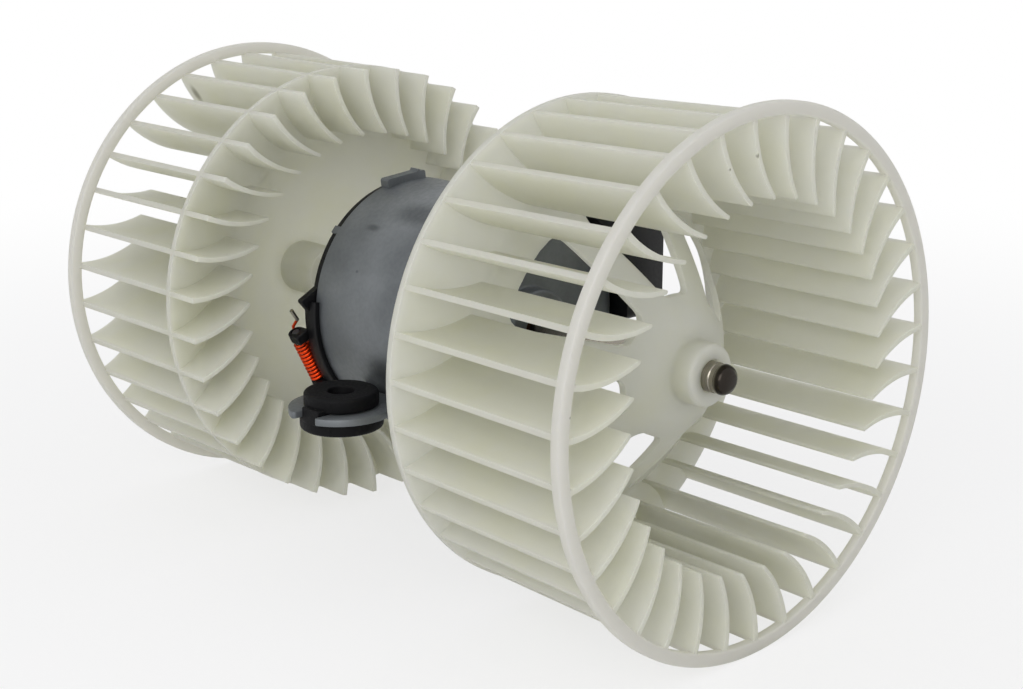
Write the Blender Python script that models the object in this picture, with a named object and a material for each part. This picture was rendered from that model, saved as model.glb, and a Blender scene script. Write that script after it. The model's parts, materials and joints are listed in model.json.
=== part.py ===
"""Car cabin blower motor: a double-shaft motor that carries a bladed fan wheel on each end.

The shaft lies along X and +Z is up. The origin is on the shaft, midway between the fans' outer faces.
Lengths are metres. Angles about the shaft are counted from +Y towards +Z.
"""

import math

import bmesh
import bpy
from mathutils import Matrix, Vector

# Fits and clearances
SEAT_GAP = 0.0003
RUNNING_GAP = 0.0001
CUT_MARGIN = 0.001

# Shaft
SHAFT_RADIUS = 0.00425
SHAFT_LENGTH = 0.209
SHAFT_CHAMFER = 0.0008
SHAFT_BORE = SHAFT_RADIUS + SEAT_GAP

# Fan wheels
FAN_SPAN = 0.231
RING_RADIUS = 0.075
RING_WALL = 0.0038
RING_WIDTH = 0.003
RING_INNER_RADIUS = RING_RADIUS - RING_WALL
BLADE_COUNT = 35
BLADE_ROOT_INSET = 0.0002
BLADE_ROOT_RADIUS = RING_INNER_RADIUS - BLADE_ROOT_INSET
BLADE_INNER_RADIUS = 0.0502
BLADE_INLET_ANGLE = math.radians(46.385)
BLADE_DEPTH_SQUARE = BLADE_ROOT_RADIUS**2 - BLADE_INNER_RADIUS**2
BLADE_BEND = BLADE_DEPTH_SQUARE / (2 * BLADE_INNER_RADIUS * math.cos(BLADE_INLET_ANGLE))
BLADE_THICKNESS = 0.0016
BLADE_TIP_THICKNESS = 0.0011
BLADE_IN_RING = 0.0007
BLADE_SETBACK = 0.0003
BLADE_STEPS = 3
PLATE_RADIUS = RING_INNER_RADIUS
PLATE_MARGIN = 0.0003
PLATE_THICKNESS = 0.0018
NECK_INSET = 0.0002
NECK_RADIUS = BLADE_INNER_RADIUS - NECK_INSET
NECK_DROP = 0.0053
BOSS_WALL = 0.00425
BOSS_RADIUS = SHAFT_BORE + BOSS_WALL
BOSS_DEPTH = 0.018
BOSS_NOSE = 0.0065
BOSS_SLEEVE = 0.026
BELL_CURVE = 1.35
BELL_WALL = 0.0018
BELL_STEPS = 4
SPOKE_COUNT = 7
SPOKE_WIDTH = 0.009
WINDOW_INSET = 0.006
WINDOW_RISE = 0.0112
WINDOW_OUTER_RADIUS = NECK_RADIUS - WINDOW_INSET
WINDOW_INNER_RADIUS = BOSS_RADIUS + WINDOW_RISE
WINDOW_CORNER = 0.003
WINDOW_STEPS = 3
RIGHT_PLATE_DEPTH = 0.0663
RIGHT_BLADE_ANGLE = math.radians(106.4)
RIGHT_SPOKE_ANGLE = math.radians(64.5)
LEFT_PLATE_DEPTH = 0.0550
LEFT_BLADE_ANGLE = math.radians(133.5)
LEFT_BLADE_OVERHANG = 0.0145

# Bearings, their retainers and the thrust washers
BEARING_RADIUS = 0.0100
BEARING_LENGTH = 0.0056
BEARING_CROWN = 0.0012
WASHER_RADIUS = 0.0080
WASHER_THICKNESS = 0.0006
RETAINER_HOLE_GAP = 0.0006
RETAINER_HOLE_RADIUS = WASHER_RADIUS + RETAINER_HOLE_GAP
RETAINER_OVERLAP = 0.0025
RETAINER_RADIUS = BEARING_RADIUS + RETAINER_OVERLAP
RETAINER_THICKNESS = 0.0004

# Motor can
CAN_RADIUS = 0.0383
CAN_WALL = 0.0016
CAN_INNER_RADIUS = CAN_RADIUS - CAN_WALL
CAN_MOUTH_X = -0.0285
CAN_END_X = 0.025
CAN_SHOULDER = 0.004
OUTER_BEND_STEPS = 3
INNER_BEND_STEPS = 1
BEARING_SEAT_RADIUS = BEARING_RADIUS + SEAT_GAP
BEARING_BOSS_WALL = 0.0017
BEARING_BOSS_RADIUS = BEARING_SEAT_RADIUS + BEARING_BOSS_WALL
BEARING_END_GAP = 0.0009
BEARING_BOSS_LENGTH = BEARING_LENGTH + BEARING_END_GAP
BEARING_BOSS_CHAMFER = 0.001
BOSS_HOLE_GAP = 0.00175
BOSS_HOLE_RADIUS = SHAFT_RADIUS + BOSS_HOLE_GAP
RIM_TAB_ANGLE = math.radians(96.0)
RIM_TAB_WIDTH = 0.015
RIM_TAB_HEIGHT = 0.002
RIM_TAB_LENGTH = 0.0035

# Commutator and the brush card round it
COMMUTATOR_RADIUS = 0.0105
COMMUTATOR_RISER = 0.0018
COMMUTATOR_LENGTH = 0.0098
COMMUTATOR_OVERHANG = 0.0009
COMMUTATOR_LOW_X = CAN_MOUTH_X - COMMUTATOR_OVERHANG
COMMUTATOR_HIGH_X = COMMUTATOR_LOW_X + COMMUTATOR_LENGTH
COMMUTATOR_BARS = 10
COMMUTATOR_CUT = 0.0007
CARD_INSET = 0.0008
CARD_RADIUS = CAN_RADIUS - CARD_INSET
CARD_THICKNESS = 0.0025
CARD_HOLE_GAP = 0.0008
CARD_HOLE_RADIUS = COMMUTATOR_RADIUS + COMMUTATOR_RISER + CARD_HOLE_GAP
CARD_INNER_X = CAN_MOUTH_X - SEAT_GAP
CARD_OUTER_X = CARD_INNER_X - CARD_THICKNESS
END_PLATE_INSET = 0.0020
END_PLATE_RADIUS = CARD_RADIUS - END_PLATE_INSET
END_PLATE_THICKNESS = 0.0015
END_PLATE_INNER_X = CARD_OUTER_X - SEAT_GAP

# Brushes, their tubes and springs
BRUSH_WIDTH = 0.005
BRUSH_AXIAL = 0.006
BRUSH_LENGTH = 0.010
BRUSH_CLEARANCE = 0.00015
TUBE_WALL = 0.0006
TUBE_SETBACK = 0.002
TUBE_INSET = 0.0057
TUBE_END_RADIUS = CAN_INNER_RADIUS - TUBE_INSET
SPRING_RADIUS = 0.0018
SPRING_WIRE = 0.0004
SPRING_TURNS = 4

# Chokes, and the ears of the brush card that carry them
CHOKE_ANGLE = math.radians(202.0)
CHOKE_WIRE = 0.0010
CHOKE_RADIUS = 0.00205
CHOKE_OUTER_RADIUS = CHOKE_RADIUS + CHOKE_WIRE / 2
CHOKE_TURNS = 11
CHOKE_LENGTH = CHOKE_TURNS * (CHOKE_WIRE + SEAT_GAP)
CHOKE_TILT = math.radians(4.5)
CHOKE_OFFSET = 0.0018
CHOKE_PLACE_RADIUS = CAN_RADIUS + CHOKE_OFFSET
CHOKE_X = CARD_OUTER_X - SEAT_GAP - CHOKE_OUTER_RADIUS
CORE_RADIUS = CHOKE_RADIUS - CHOKE_WIRE / 2 - SEAT_GAP
PRONG_THICKNESS = 0.0032
PRONG_HOLE_RADIUS = CORE_RADIUS + SEAT_GAP
PRONG_ROOT = 0.001
PRONG_STEPS = 6
CORE_LENGTH = CHOKE_LENGTH + 2 * (SEAT_GAP + PRONG_THICKNESS)
EAR_EDGE = 0.0020
EAR_SKIRT = 0.0024
EAR_SKIRT_ROOT = 0.0005
EAR_TIP = 0.0052
EAR_WEB = 0.003
EAR_STEPS = 4
EAR_ROOT_TURN = math.radians(35.0)
EAR_TIP_TURN = math.radians(28.5)
EAR_NECK_TURN = math.radians(24.0)
EAR_END_TURN = math.radians(17.5)

# Armature
ARMATURE_INSET = 0.011
WINDING_OVERHANG = 0.0062
WINDING_END_GAP = 0.0011
ARMATURE_HIGH_X = CAN_END_X - ARMATURE_INSET
ARMATURE_LOW_X = COMMUTATOR_HIGH_X + WINDING_END_GAP + WINDING_OVERHANG + SEAT_GAP
MAGNET_THICKNESS = 0.0094
MAGNET_OUTER_RADIUS = CAN_INNER_RADIUS - SEAT_GAP
MAGNET_INNER_RADIUS = MAGNET_OUTER_RADIUS - MAGNET_THICKNESS
AIR_GAP = 0.0007
ARMATURE_RADIUS = MAGNET_INNER_RADIUS - AIR_GAP
SLOT_COUNT = 10
TOOTH_WIDTH = 0.0052
TOOTH_TIP = 0.0022
SLOT_MOUTH = 0.0026
YOKE_RADIUS = 0.0110
WINDING_DROP = 0.0038
WINDING_RADIUS = ARMATURE_RADIUS - WINDING_DROP
WINDING_WALL = 0.002
WINDING_CROWN = 0.001
WINDING_TAPER = 0.005
WINDING_SHOULDER = 0.0022

# Field magnets and their clips
MAGNET_OVERLAP = 0.004
MAGNET_SPREAD = math.radians(132.0)
MAGNET_FACETS = 12
CLIP_INSET = 0.001
CLIP_THICKNESS = 0.0006
CLIP_SPREAD = math.radians(38.0)
CLIP_FACETS = 4

# Connector on the side of the can
SOCKET_WIDTH = 0.020
SOCKET_HEIGHT = 0.035
SOCKET_STAND = 0.0167
SOCKET_REACH = CAN_RADIUS + SOCKET_STAND
SOCKET_CENTRE_X = 0.020
SOCKET_CENTRE_Z = 0.0135
SOCKET_WALL = 0.003
SOCKET_DEPTH = 0.012
TERMINAL_WIDTH = 0.0063
TERMINAL_THICKNESS = 0.0008
TERMINAL_LENGTH = 0.009
TERMINAL_SPACING = 0.012

# Mounting bracket and rubber grommets
BRACKET_THICKNESS = 0.002
BRACKET_SHOULDER = 0.0035
BRACKET_EAR_RADIUS = 0.0155
BRACKET_WIDTH = 2 * (BRACKET_EAR_RADIUS - BRACKET_SHOULDER)
BRACKET_FACETS = 12
BRACKET_EAR_Z = -0.0205
BRACKET_EAR_STAND = 0.0122
BRACKET_EAR_REACH = CAN_RADIUS + BRACKET_EAR_STAND
EAR_HOLE_RADIUS = 0.0075
EAR_SLOT_WIDTH = 0.0085
EAR_SLOT_SHIFT = 0.00125
GROMMET_BORE_RADIUS = 0.0040
GROMMET_TOP_LIP = 0.0035
GROMMET_TOP_RADIUS = EAR_HOLE_RADIUS + GROMMET_TOP_LIP
GROMMET_TOP_THICKNESS = 0.0043
GROMMET_BASE_LIP = 0.0048
GROMMET_BASE_RADIUS = EAR_HOLE_RADIUS + GROMMET_BASE_LIP
GROMMET_BASE_THICKNESS = 0.0041
GROMMET_EDGE = 0.0010
GROMMET_WEB_WALL = 0.0015
GROMMET_WEB_LIP = 0.0010

# Facets round each kind of turned piece
RING_FACETS = 70
BELL_FACETS = 35
CAN_FACETS = 32
SMALL_FACETS = 20
BUSH_FACETS = 14
ROD_FACETS = 10
SKIRT_FACETS = 6
SPRING_FACETS = 6
WIRE_SIDES = 4
FULL_TURN = 2 * math.pi


def clear_scene():
    for old in list(bpy.data.objects):
        bpy.data.objects.remove(old)


def finish(name, colour, roughness, metallic=0.0):
    """A plain material, with its colour as linear red, green and blue."""
    material = bpy.data.materials.new(name)
    material.use_nodes = True
    shader = material.node_tree.nodes["Principled BSDF"]
    shader.inputs["Base Color"].default_value = (*colour, 1.0)
    shader.inputs["Roughness"].default_value = roughness
    shader.inputs["Metallic"].default_value = metallic
    return material


def around(angle, radius, x=0.0):
    """The point at this angle and radius about the shaft."""
    return Vector((x, radius * math.cos(angle), radius * math.sin(angle)))


def place(name, mesh, material, parent, matrix=None):
    mesh.materials.append(material)
    made = bpy.data.objects.new(name, mesh)
    bpy.context.collection.objects.link(made)
    made.parent = parent
    if matrix is not None:
        made.matrix_local = matrix
    return made


def to_mesh(name, shape, smooth_angle=35.0):
    """Turns a bmesh into a mesh with its faces out and its round sides smooth."""
    bmesh.ops.recalc_face_normals(shape, faces=shape.faces)
    mesh = bpy.data.meshes.new(name)
    shape.to_mesh(mesh)
    shape.free()
    mesh.shade_smooth()
    mesh.set_sharp_from_angle(angle=math.radians(smooth_angle))
    return mesh


def add_turned(shape, profile, facets, angle=FULL_TURN, start=0.0):
    """Spins a profile of (x, radius) points about X; part of a turn gets flat ends."""
    points = [shape.verts.new(around(start, radius, x)) for x, radius in profile]
    on_axis = profile[0][1] == 0.0 and profile[-1][1] == 0.0
    if angle < FULL_TURN:
        geometry = [shape.faces.new(points)]
    else:
        after = points[1:] if on_axis else points[1:] + points[:1]
        geometry = [shape.edges.new(pair) for pair in zip(points, after)]
    bmesh.ops.spin(
        shape,
        geom=geometry,
        cent=(0, 0, 0),
        axis=(1, 0, 0),
        angle=angle,
        steps=facets,
        use_merge=angle >= FULL_TURN,
    )
    if on_axis:
        bmesh.ops.remove_doubles(shape, verts=shape.verts, dist=1e-7)


def turned(name, profile, facets, angle=FULL_TURN, start=0.0):
    shape = bmesh.new()
    add_turned(shape, profile, facets, angle, start)
    return to_mesh(name, shape)


def add_prism(shape, outline, near, far):
    """Joins two copies of a closed outline, given as points by the functions near and far."""
    first = [shape.verts.new(near(point)) for point in outline]
    last = [shape.verts.new(far(point)) for point in outline]
    count = len(outline)
    for index in range(count):
        after = (index + 1) % count
        shape.faces.new((first[index], first[after], last[after], last[index]))
    return first, last


def add_extrusion(shape, outline, x_low, x_high):
    """An outline of (y, z) points drawn out along X."""
    first, last = add_prism(
        shape, outline, lambda p: (x_low, p[0], p[1]), lambda p: (x_high, p[0], p[1])
    )
    shape.faces.new(first)
    shape.faces.new(last)


def add_box(shape, low, high):
    outline = ((low[1], low[2]), (high[1], low[2]), (high[1], high[2]), (low[1], high[2]))
    add_extrusion(shape, outline, low[0], high[0])


def add_side_box(shape, centre_x, halves, side, radii):
    """A box above the shaft for side 1 or below it for side -1, between two heights."""
    low_z, high_z = sorted(side * radius for radius in radii)
    low = (centre_x - halves[0], -halves[1], low_z)
    high = (centre_x + halves[0], halves[1], high_z)
    add_box(shape, low, high)


def joined(base, operation, tool):
    """Adds a Boolean to the base, with the tool kept as a hidden wire helper."""
    boolean = base.modifiers.new(tool.name, "BOOLEAN")
    boolean.operation = operation
    boolean.solver = "EXACT"
    boolean.object = tool
    tool.hide_render = True
    tool.display_type = "WIRE"
    tool.parent = base.parent


def helper(name, shape):
    made = bpy.data.objects.new(name, to_mesh(name, shape))
    bpy.context.collection.objects.link(made)
    return made


def tube_profile(low, high, inner, outer):
    """The (x, radius) corners of a plain ring between two planes."""
    return [(low, inner), (low, outer), (high, outer), (high, inner)]


def rod_profile(length, radius):
    """The (x, radius) corners of a plain round rod about its own middle."""
    return tube_profile(-length / 2, length / 2, 0.0, radius)


def wire_tube(name, points, wire_radius, sides):
    """A round wire through the points, with flat ends."""
    shape = bmesh.new()
    rings = []
    for index, point in enumerate(points):
        ahead = points[min(index + 1, len(points) - 1)] - points[max(index - 1, 0)]
        out = (point - Vector((point.x, 0, 0))).normalized()
        across = ahead.normalized().cross(out)
        ring = []
        for side in range(sides):
            turn = 2 * math.pi * (side + 0.5) / sides
            offset = math.cos(turn) * out + math.sin(turn) * across
            ring.append(shape.verts.new(point + wire_radius * offset))
        rings.append(ring)
    for one, other in zip(rings, rings[1:]):
        for side in range(sides):
            after = (side + 1) % sides
            shape.faces.new((one[side], one[after], other[after], other[side]))
    shape.faces.new(rings[0])
    shape.faces.new(rings[-1])
    return to_mesh(name, shape)


def helix(radius, length, turns, facets):
    """Points of a coil about its own X axis, centred on the origin."""
    steps = turns * facets
    points = []
    for step in range(steps + 1):
        share = step / steps
        points.append(around(2 * math.pi * turns * share, radius, length * (share - 0.5)))
    return points


def blade_turn():
    """How far the blade's arc runs from its root to the inner radius."""
    centre = math.hypot(BLADE_ROOT_RADIUS, BLADE_BEND)
    squares = centre**2 + BLADE_BEND**2 - BLADE_INNER_RADIUS**2
    at_centre = math.acos(squares / (2 * centre * BLADE_BEND))
    return math.atan2(BLADE_ROOT_RADIUS, BLADE_BEND) - at_centre


def blade_section(outer_edge):
    """One blade across its length: (radial, sideways) points round an arc that leaves the ring radially."""
    front, back = [], []
    for step in range(BLADE_STEPS + 1):
        share = step / BLADE_STEPS
        turn = blade_turn() * share
        half = (BLADE_THICKNESS + (BLADE_TIP_THICKNESS - BLADE_THICKNESS) * share) / 2
        for side, offset in ((front, half), (back, -half)):
            bend = BLADE_BEND + offset
            radial = BLADE_ROOT_RADIUS - bend * math.sin(turn) if step else outer_edge
            side.append((radial, bend * math.cos(turn) - BLADE_BEND))
    return front + back[::-1]


def plate_depth(plate, radius):
    """Depth of the middle of the back plate's wall, counted in from the ring's outer face."""
    slope = NECK_DROP / (PLATE_RADIUS - NECK_RADIUS)
    return plate - slope * (PLATE_RADIUS - radius) + PLATE_THICKNESS / 2


def bell_outline(plate):
    """The bell's (depth, radius) points from boss to plate on its ring side, as one turned curve."""
    start = BOSS_DEPTH + BOSS_NOSE
    neck = plate - NECK_DROP
    points = []
    for step in range(BELL_STEPS + 1):
        share = step / BELL_STEPS
        radius = BOSS_RADIUS + (NECK_RADIUS - BOSS_RADIUS) * share
        points.append((start + (neck - start) * share**BELL_CURVE, radius))
    return points + [(plate, PLATE_RADIUS)]


def inner_outline(outline):
    """The outline moved in by the wall, square to its own slope."""
    moved = []
    for index in range(1, len(outline)):
        before = Vector(outline[index - 1])
        point = Vector(outline[index])
        after = Vector(outline[min(index + 1, len(outline) - 1)])
        along = ((point - before).normalized() + (after - point).normalized()).normalized()
        moved.append((point.x + BELL_WALL * along.y, point.y - BELL_WALL * along.x))
    moved[-1] = (outline[-1][0] + PLATE_THICKNESS, PLATE_RADIUS)
    return moved


def fan_body(side, plate):
    """Hub, bell and back plate as one turned piece, with the outer ring beside it."""
    outline = bell_outline(plate)
    inner = inner_outline(outline)
    sleeve = BOSS_DEPTH + BOSS_SLEEVE
    profile = [(BOSS_DEPTH, SHAFT_BORE), (BOSS_DEPTH, BOSS_RADIUS)] + outline + inner[::-1]
    profile += [(inner[0][0], BOSS_RADIUS), (sleeve, BOSS_RADIUS), (sleeve, SHAFT_BORE)]
    ring = tube_profile(0.0, RING_WIDTH, RING_INNER_RADIUS, RING_RADIUS)
    shape = bmesh.new()
    for points, facets in ((profile, BELL_FACETS), (ring, RING_FACETS)):
        placed = [(side * (FAN_SPAN / 2 - depth), radius) for depth, radius in points]
        add_turned(shape, placed, facets, start=math.pi / 2)
    return shape


def fan_blades(side, plate, angle, overhang):
    """Every blade of a fan; an overhang carries them past the plate towards the motor."""
    shape = bmesh.new()
    at_ring = blade_section(RING_INNER_RADIUS + BLADE_IN_RING)
    at_plate = blade_section(PLATE_RADIUS - PLATE_MARGIN)
    for index in range(BLADE_COUNT):
        turn = Matrix.Rotation(angle + 2 * math.pi * index / BLADE_COUNT, 4, "X")
        first, last = [], []
        for (radial, across), (far_radial, far_across) in zip(at_ring, at_plate):
            depth = plate_depth(plate, math.hypot(far_radial, far_across))
            if overhang:
                depth = plate + overhang
            near_x = side * (FAN_SPAN / 2 - BLADE_SETBACK)
            far_x = side * (FAN_SPAN / 2 - depth)
            first.append(shape.verts.new(turn @ Vector((near_x, radial, across))))
            last.append(shape.verts.new(turn @ Vector((far_x, far_radial, far_across))))
        count = len(first)
        for corner in range(count):
            after = (corner + 1) % count
            shape.faces.new((first[corner], first[after], last[after], last[corner]))
        for step in range(BLADE_STEPS):
            for end in (first, last):
                opposite = count - 1 - step
                shape.faces.new((end[step], end[step + 1], end[opposite - 1], end[opposite]))
    return shape


def hub_windows(side, plate, angle):
    """The cutters for the openings between the hub's spokes."""
    shape = bmesh.new()
    pitch = 2 * math.pi / SPOKE_COUNT
    low = side * (FAN_SPAN / 2 - BOSS_DEPTH - BOSS_NOSE)
    high = side * (FAN_SPAN / 2 - plate - PLATE_THICKNESS)
    for index in range(SPOKE_COUNT):
        spoke = angle + pitch * index
        outline = []
        for radius, order in ((WINDOW_INNER_RADIUS, 1), (WINDOW_OUTER_RADIUS, -1)):
            edge = math.asin(SPOKE_WIDTH / 2 / radius)
            span = (pitch - 2 * edge) / WINDOW_STEPS
            arc = [spoke + edge + span * step for step in range(WINDOW_STEPS + 1)]
            outline += [around(turn, radius)[1:] for turn in arc[::order]]
        add_extrusion(shape, outline, low, high)
    corners = [edge for edge in shape.edges if edge.calc_length() > abs(high - low) / 2]
    sharp = [edge for edge in corners if edge.calc_face_angle() > math.radians(40)]
    bmesh.ops.bevel(
        shape, geom=sharp, offset=WINDOW_CORNER, segments=2, profile=0.5, affect="EDGES"
    )
    return shape


def fan_wheel(name, side, plate, blade_angle, overhang, material, parent):
    wheel = place(name, to_mesh(name, fan_body(side, plate)), material, parent)
    blades = helper(name + "_blades", fan_blades(side, plate, blade_angle, overhang))
    joined(wheel, "UNION", blades)
    return wheel


def fan_wheels(material, parent):
    """The right fan's bell has spokes; the left fan's bell is closed, and its blades run on."""
    plate = RIGHT_PLATE_DEPTH
    right = fan_wheel("fan_right", 1, plate, RIGHT_BLADE_ANGLE, 0.0, material, parent)
    windows = hub_windows(1, plate, RIGHT_SPOKE_ANGLE)
    joined(right, "DIFFERENCE", helper("fan_right_windows", windows))
    plate = LEFT_PLATE_DEPTH
    fan_wheel("fan_left", -1, plate, LEFT_BLADE_ANGLE, LEFT_BLADE_OVERHANG, material, parent)


def shaft(material, parent):
    half = SHAFT_LENGTH / 2
    end_radius = SHAFT_RADIUS - SHAFT_CHAMFER
    profile = [(-half, 0.0), (-half, end_radius), (SHAFT_CHAMFER - half, SHAFT_RADIUS)]
    profile += [(-x, radius) for x, radius in profile[::-1]]
    place("shaft", turned("shaft", profile, SMALL_FACETS), material, parent)


def slot_half_width(radius):
    """Half the width of a slot, with parallel-sided teeth either side."""
    return radius * math.sin(math.pi / SLOT_COUNT) - TOOTH_WIDTH / 2


def core_outline():
    """The toothed outline of the laminated core, slot after slot, as (y, z) points."""
    neck = ARMATURE_RADIUS - TOOTH_TIP
    corners = (
        (ARMATURE_RADIUS, SLOT_MOUTH / 2),
        (neck, SLOT_MOUTH / 2),
        (neck, slot_half_width(neck)),
        (YOKE_RADIUS, slot_half_width(YOKE_RADIUS)),
    )
    outline = []
    for index in range(SLOT_COUNT):
        middle = FULL_TURN * index / SLOT_COUNT
        turns = [(radius, math.asin(across / radius)) for radius, across in corners]
        outline += [around(middle - turn, radius)[1:] for radius, turn in turns]
        outline += [around(middle + turn, radius)[1:] for radius, turn in turns[::-1]]
    return outline


def armature_core(material, parent):
    """Laminated iron core: T-shaped teeth round a yoke, bored for the shaft."""
    shape = bmesh.new()
    add_extrusion(shape, core_outline(), ARMATURE_LOW_X, ARMATURE_HIGH_X)
    core = place("armature_core", to_mesh("armature_core", shape), material, parent)
    bore = bmesh.new()
    ends = (ARMATURE_LOW_X - CUT_MARGIN, ARMATURE_HIGH_X + CUT_MARGIN)
    add_turned(bore, tube_profile(*ends, 0.0, SHAFT_BORE), SMALL_FACETS)
    joined(core, "DIFFERENCE", helper("armature_bore", bore))


def armature_winding(material, parent):
    """Varnished copper: a bar in every slot, joined by the end turns either side of the core."""
    low = ARMATURE_LOW_X - SEAT_GAP
    high = ARMATURE_HIGH_X + SEAT_GAP
    shape = bmesh.new()
    inner = SHAFT_BORE + WINDING_WALL
    for face, out in ((low, -1), (high, 1)):
        end = face + out * WINDING_OVERHANG
        profile = [
            (face, inner),
            (face, WINDING_RADIUS - WINDING_CROWN),
            (face + out * WINDING_SHOULDER, WINDING_RADIUS),
            (end, WINDING_RADIUS - WINDING_TAPER - WINDING_CROWN),
            (end, inner + WINDING_WALL),
        ]
        add_turned(shape, profile, SLOT_COUNT * 2)
    winding = place("armature_winding", to_mesh("armature_winding", shape), material, parent)
    bars = bmesh.new()
    bottom = YOKE_RADIUS + SEAT_GAP * 2
    top = ARMATURE_RADIUS - TOOTH_TIP - SEAT_GAP * 2
    low_half = slot_half_width(bottom) - SEAT_GAP
    high_half = slot_half_width(top) - SEAT_GAP
    section = ((bottom, -low_half), (bottom, low_half), (top, high_half), (top, -high_half))
    for index in range(SLOT_COUNT):
        turn = Matrix.Rotation(FULL_TURN * index / SLOT_COUNT, 2)
        outline = [turn @ Vector(corner) for corner in section]
        add_extrusion(bars, outline, low - WINDING_SHOULDER, high + WINDING_SHOULDER)
    joined(winding, "UNION", helper("winding_bars", bars))


def commutator(material, parent):
    """Copper bars round the shaft, with risers next to the winding."""
    low = COMMUTATOR_LOW_X
    high = COMMUTATOR_HIGH_X
    riser = COMMUTATOR_RADIUS + COMMUTATOR_RISER
    profile = [
        (low, SHAFT_BORE),
        (low, COMMUTATOR_RADIUS),
        (high - COMMUTATOR_RISER, COMMUTATOR_RADIUS),
        (high - COMMUTATOR_RISER, riser),
        (high, riser),
        (high, SHAFT_BORE),
    ]
    mesh = turned("commutator", profile, COMMUTATOR_BARS * 2, start=math.pi / 2)
    bars = place("commutator", mesh, material, parent)
    cuts = bmesh.new()
    half = COMMUTATOR_CUT / 2
    base = COMMUTATOR_RADIUS - COMMUTATOR_CUT
    top = riser + CUT_MARGIN
    section = ((base, -half), (top, -half), (top, half), (base, half))
    for index in range(COMMUTATOR_BARS):
        turn = Matrix.Rotation(FULL_TURN * (index + 0.5) / COMMUTATOR_BARS, 2)
        outline = [turn @ Vector(corner) for corner in section]
        add_extrusion(cuts, outline, low - CUT_MARGIN, high + CUT_MARGIN)
    joined(bars, "DIFFERENCE", helper("commutator_cuts", cuts))


def shoulder(radius, bend, end_x, steps):
    """Points round the can's shoulder, from its end face out to its side."""
    points = []
    for step in range(steps + 1):
        turn = math.pi / 2 * step / steps
        x = end_x - bend * (1 - math.cos(turn))
        points.append((x, radius - bend * (1 - math.sin(turn))))
    return points


def motor_can(material, parent):
    """Drawn steel can, closed at one end round its bearing boss, with a tab turned up on the rim."""
    boss_end = CAN_END_X + BEARING_BOSS_LENGTH
    floor = CAN_END_X - CAN_WALL
    profile = [
        (boss_end, BOSS_HOLE_RADIUS),
        (boss_end, BEARING_BOSS_RADIUS - BEARING_BOSS_CHAMFER),
        (boss_end - BEARING_BOSS_CHAMFER, BEARING_BOSS_RADIUS),
        (CAN_END_X, BEARING_BOSS_RADIUS),
    ]
    profile += shoulder(CAN_RADIUS, CAN_SHOULDER, CAN_END_X, OUTER_BEND_STEPS)
    profile += [(CAN_MOUTH_X, CAN_RADIUS), (CAN_MOUTH_X, CAN_INNER_RADIUS)]
    profile += shoulder(CAN_INNER_RADIUS, CAN_SHOULDER - CAN_WALL, floor, INNER_BEND_STEPS)[::-1]
    profile += [
        (floor, BEARING_SEAT_RADIUS),
        (boss_end - CAN_WALL, BEARING_SEAT_RADIUS),
        (boss_end - CAN_WALL, BOSS_HOLE_RADIUS),
    ]
    can = place("motor_can", turned("motor_can", profile, CAN_FACETS), material, parent)
    tab = bmesh.new()
    low = (CAN_MOUTH_X - SEAT_GAP, CAN_RADIUS - CAN_WALL / 2, -RIM_TAB_WIDTH / 2)
    high = (CAN_MOUTH_X + RIM_TAB_LENGTH, CAN_RADIUS + RIM_TAB_HEIGHT, RIM_TAB_WIDTH / 2)
    add_box(tab, low, high)
    turn = Matrix.Rotation(RIM_TAB_ANGLE, 3, "X")
    bmesh.ops.rotate(tab, verts=tab.verts, cent=(0, 0, 0), matrix=turn)
    joined(can, "UNION", helper("rim_tab", tab))


def bearings(material, clip_material, washer_material, motor, rotor):
    """A crowned sintered bush at each end, with its spring retainer and a thrust washer on the shaft."""
    bore = SHAFT_RADIUS + RUNNING_GAP
    ends = (("right", CAN_END_X - CAN_WALL, 1), ("left", END_PLATE_INNER_X, -1))
    for name, seat_x, out in ends:
        far = seat_x + out * BEARING_LENGTH
        profile = [
            (seat_x, bore),
            (seat_x, BEARING_RADIUS - BEARING_CROWN),
            ((seat_x + far) / 2, BEARING_RADIUS),
            (far, BEARING_RADIUS - BEARING_CROWN),
            (far, bore),
        ]
        mesh = turned("bearing_" + name, profile, BUSH_FACETS)
        place("bearing_" + name, mesh, material, motor)
        clip = seat_x - out * SEAT_GAP
        clip_far = clip - out * RETAINER_THICKNESS
        profile = tube_profile(clip, clip_far, RETAINER_HOLE_RADIUS, RETAINER_RADIUS)
        mesh = turned("retainer_" + name, profile, BUSH_FACETS)
        place("retainer_" + name, mesh, clip_material, motor)
        washer_far = clip - out * WASHER_THICKNESS
        profile = tube_profile(clip, washer_far, SHAFT_BORE, WASHER_RADIUS)
        mesh = turned("thrust_washer_" + name, profile, BUSH_FACETS)
        place("thrust_washer_" + name, mesh, washer_material, rotor)


def choke_seat(side_turn):
    """Where a choke's middle lies beside the brush card, with its X along the choke."""
    angle = CHOKE_ANGLE + side_turn
    middle = around(angle, CHOKE_PLACE_RADIUS, CHOKE_X)
    out = around(angle + CHOKE_TILT, 1.0)
    along = around(angle + CHOKE_TILT + math.pi / 2, 1.0)
    turned_to = Matrix((along, out, along.cross(out))).transposed()
    return Matrix.Translation(middle) @ turned_to.to_4x4()


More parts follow.
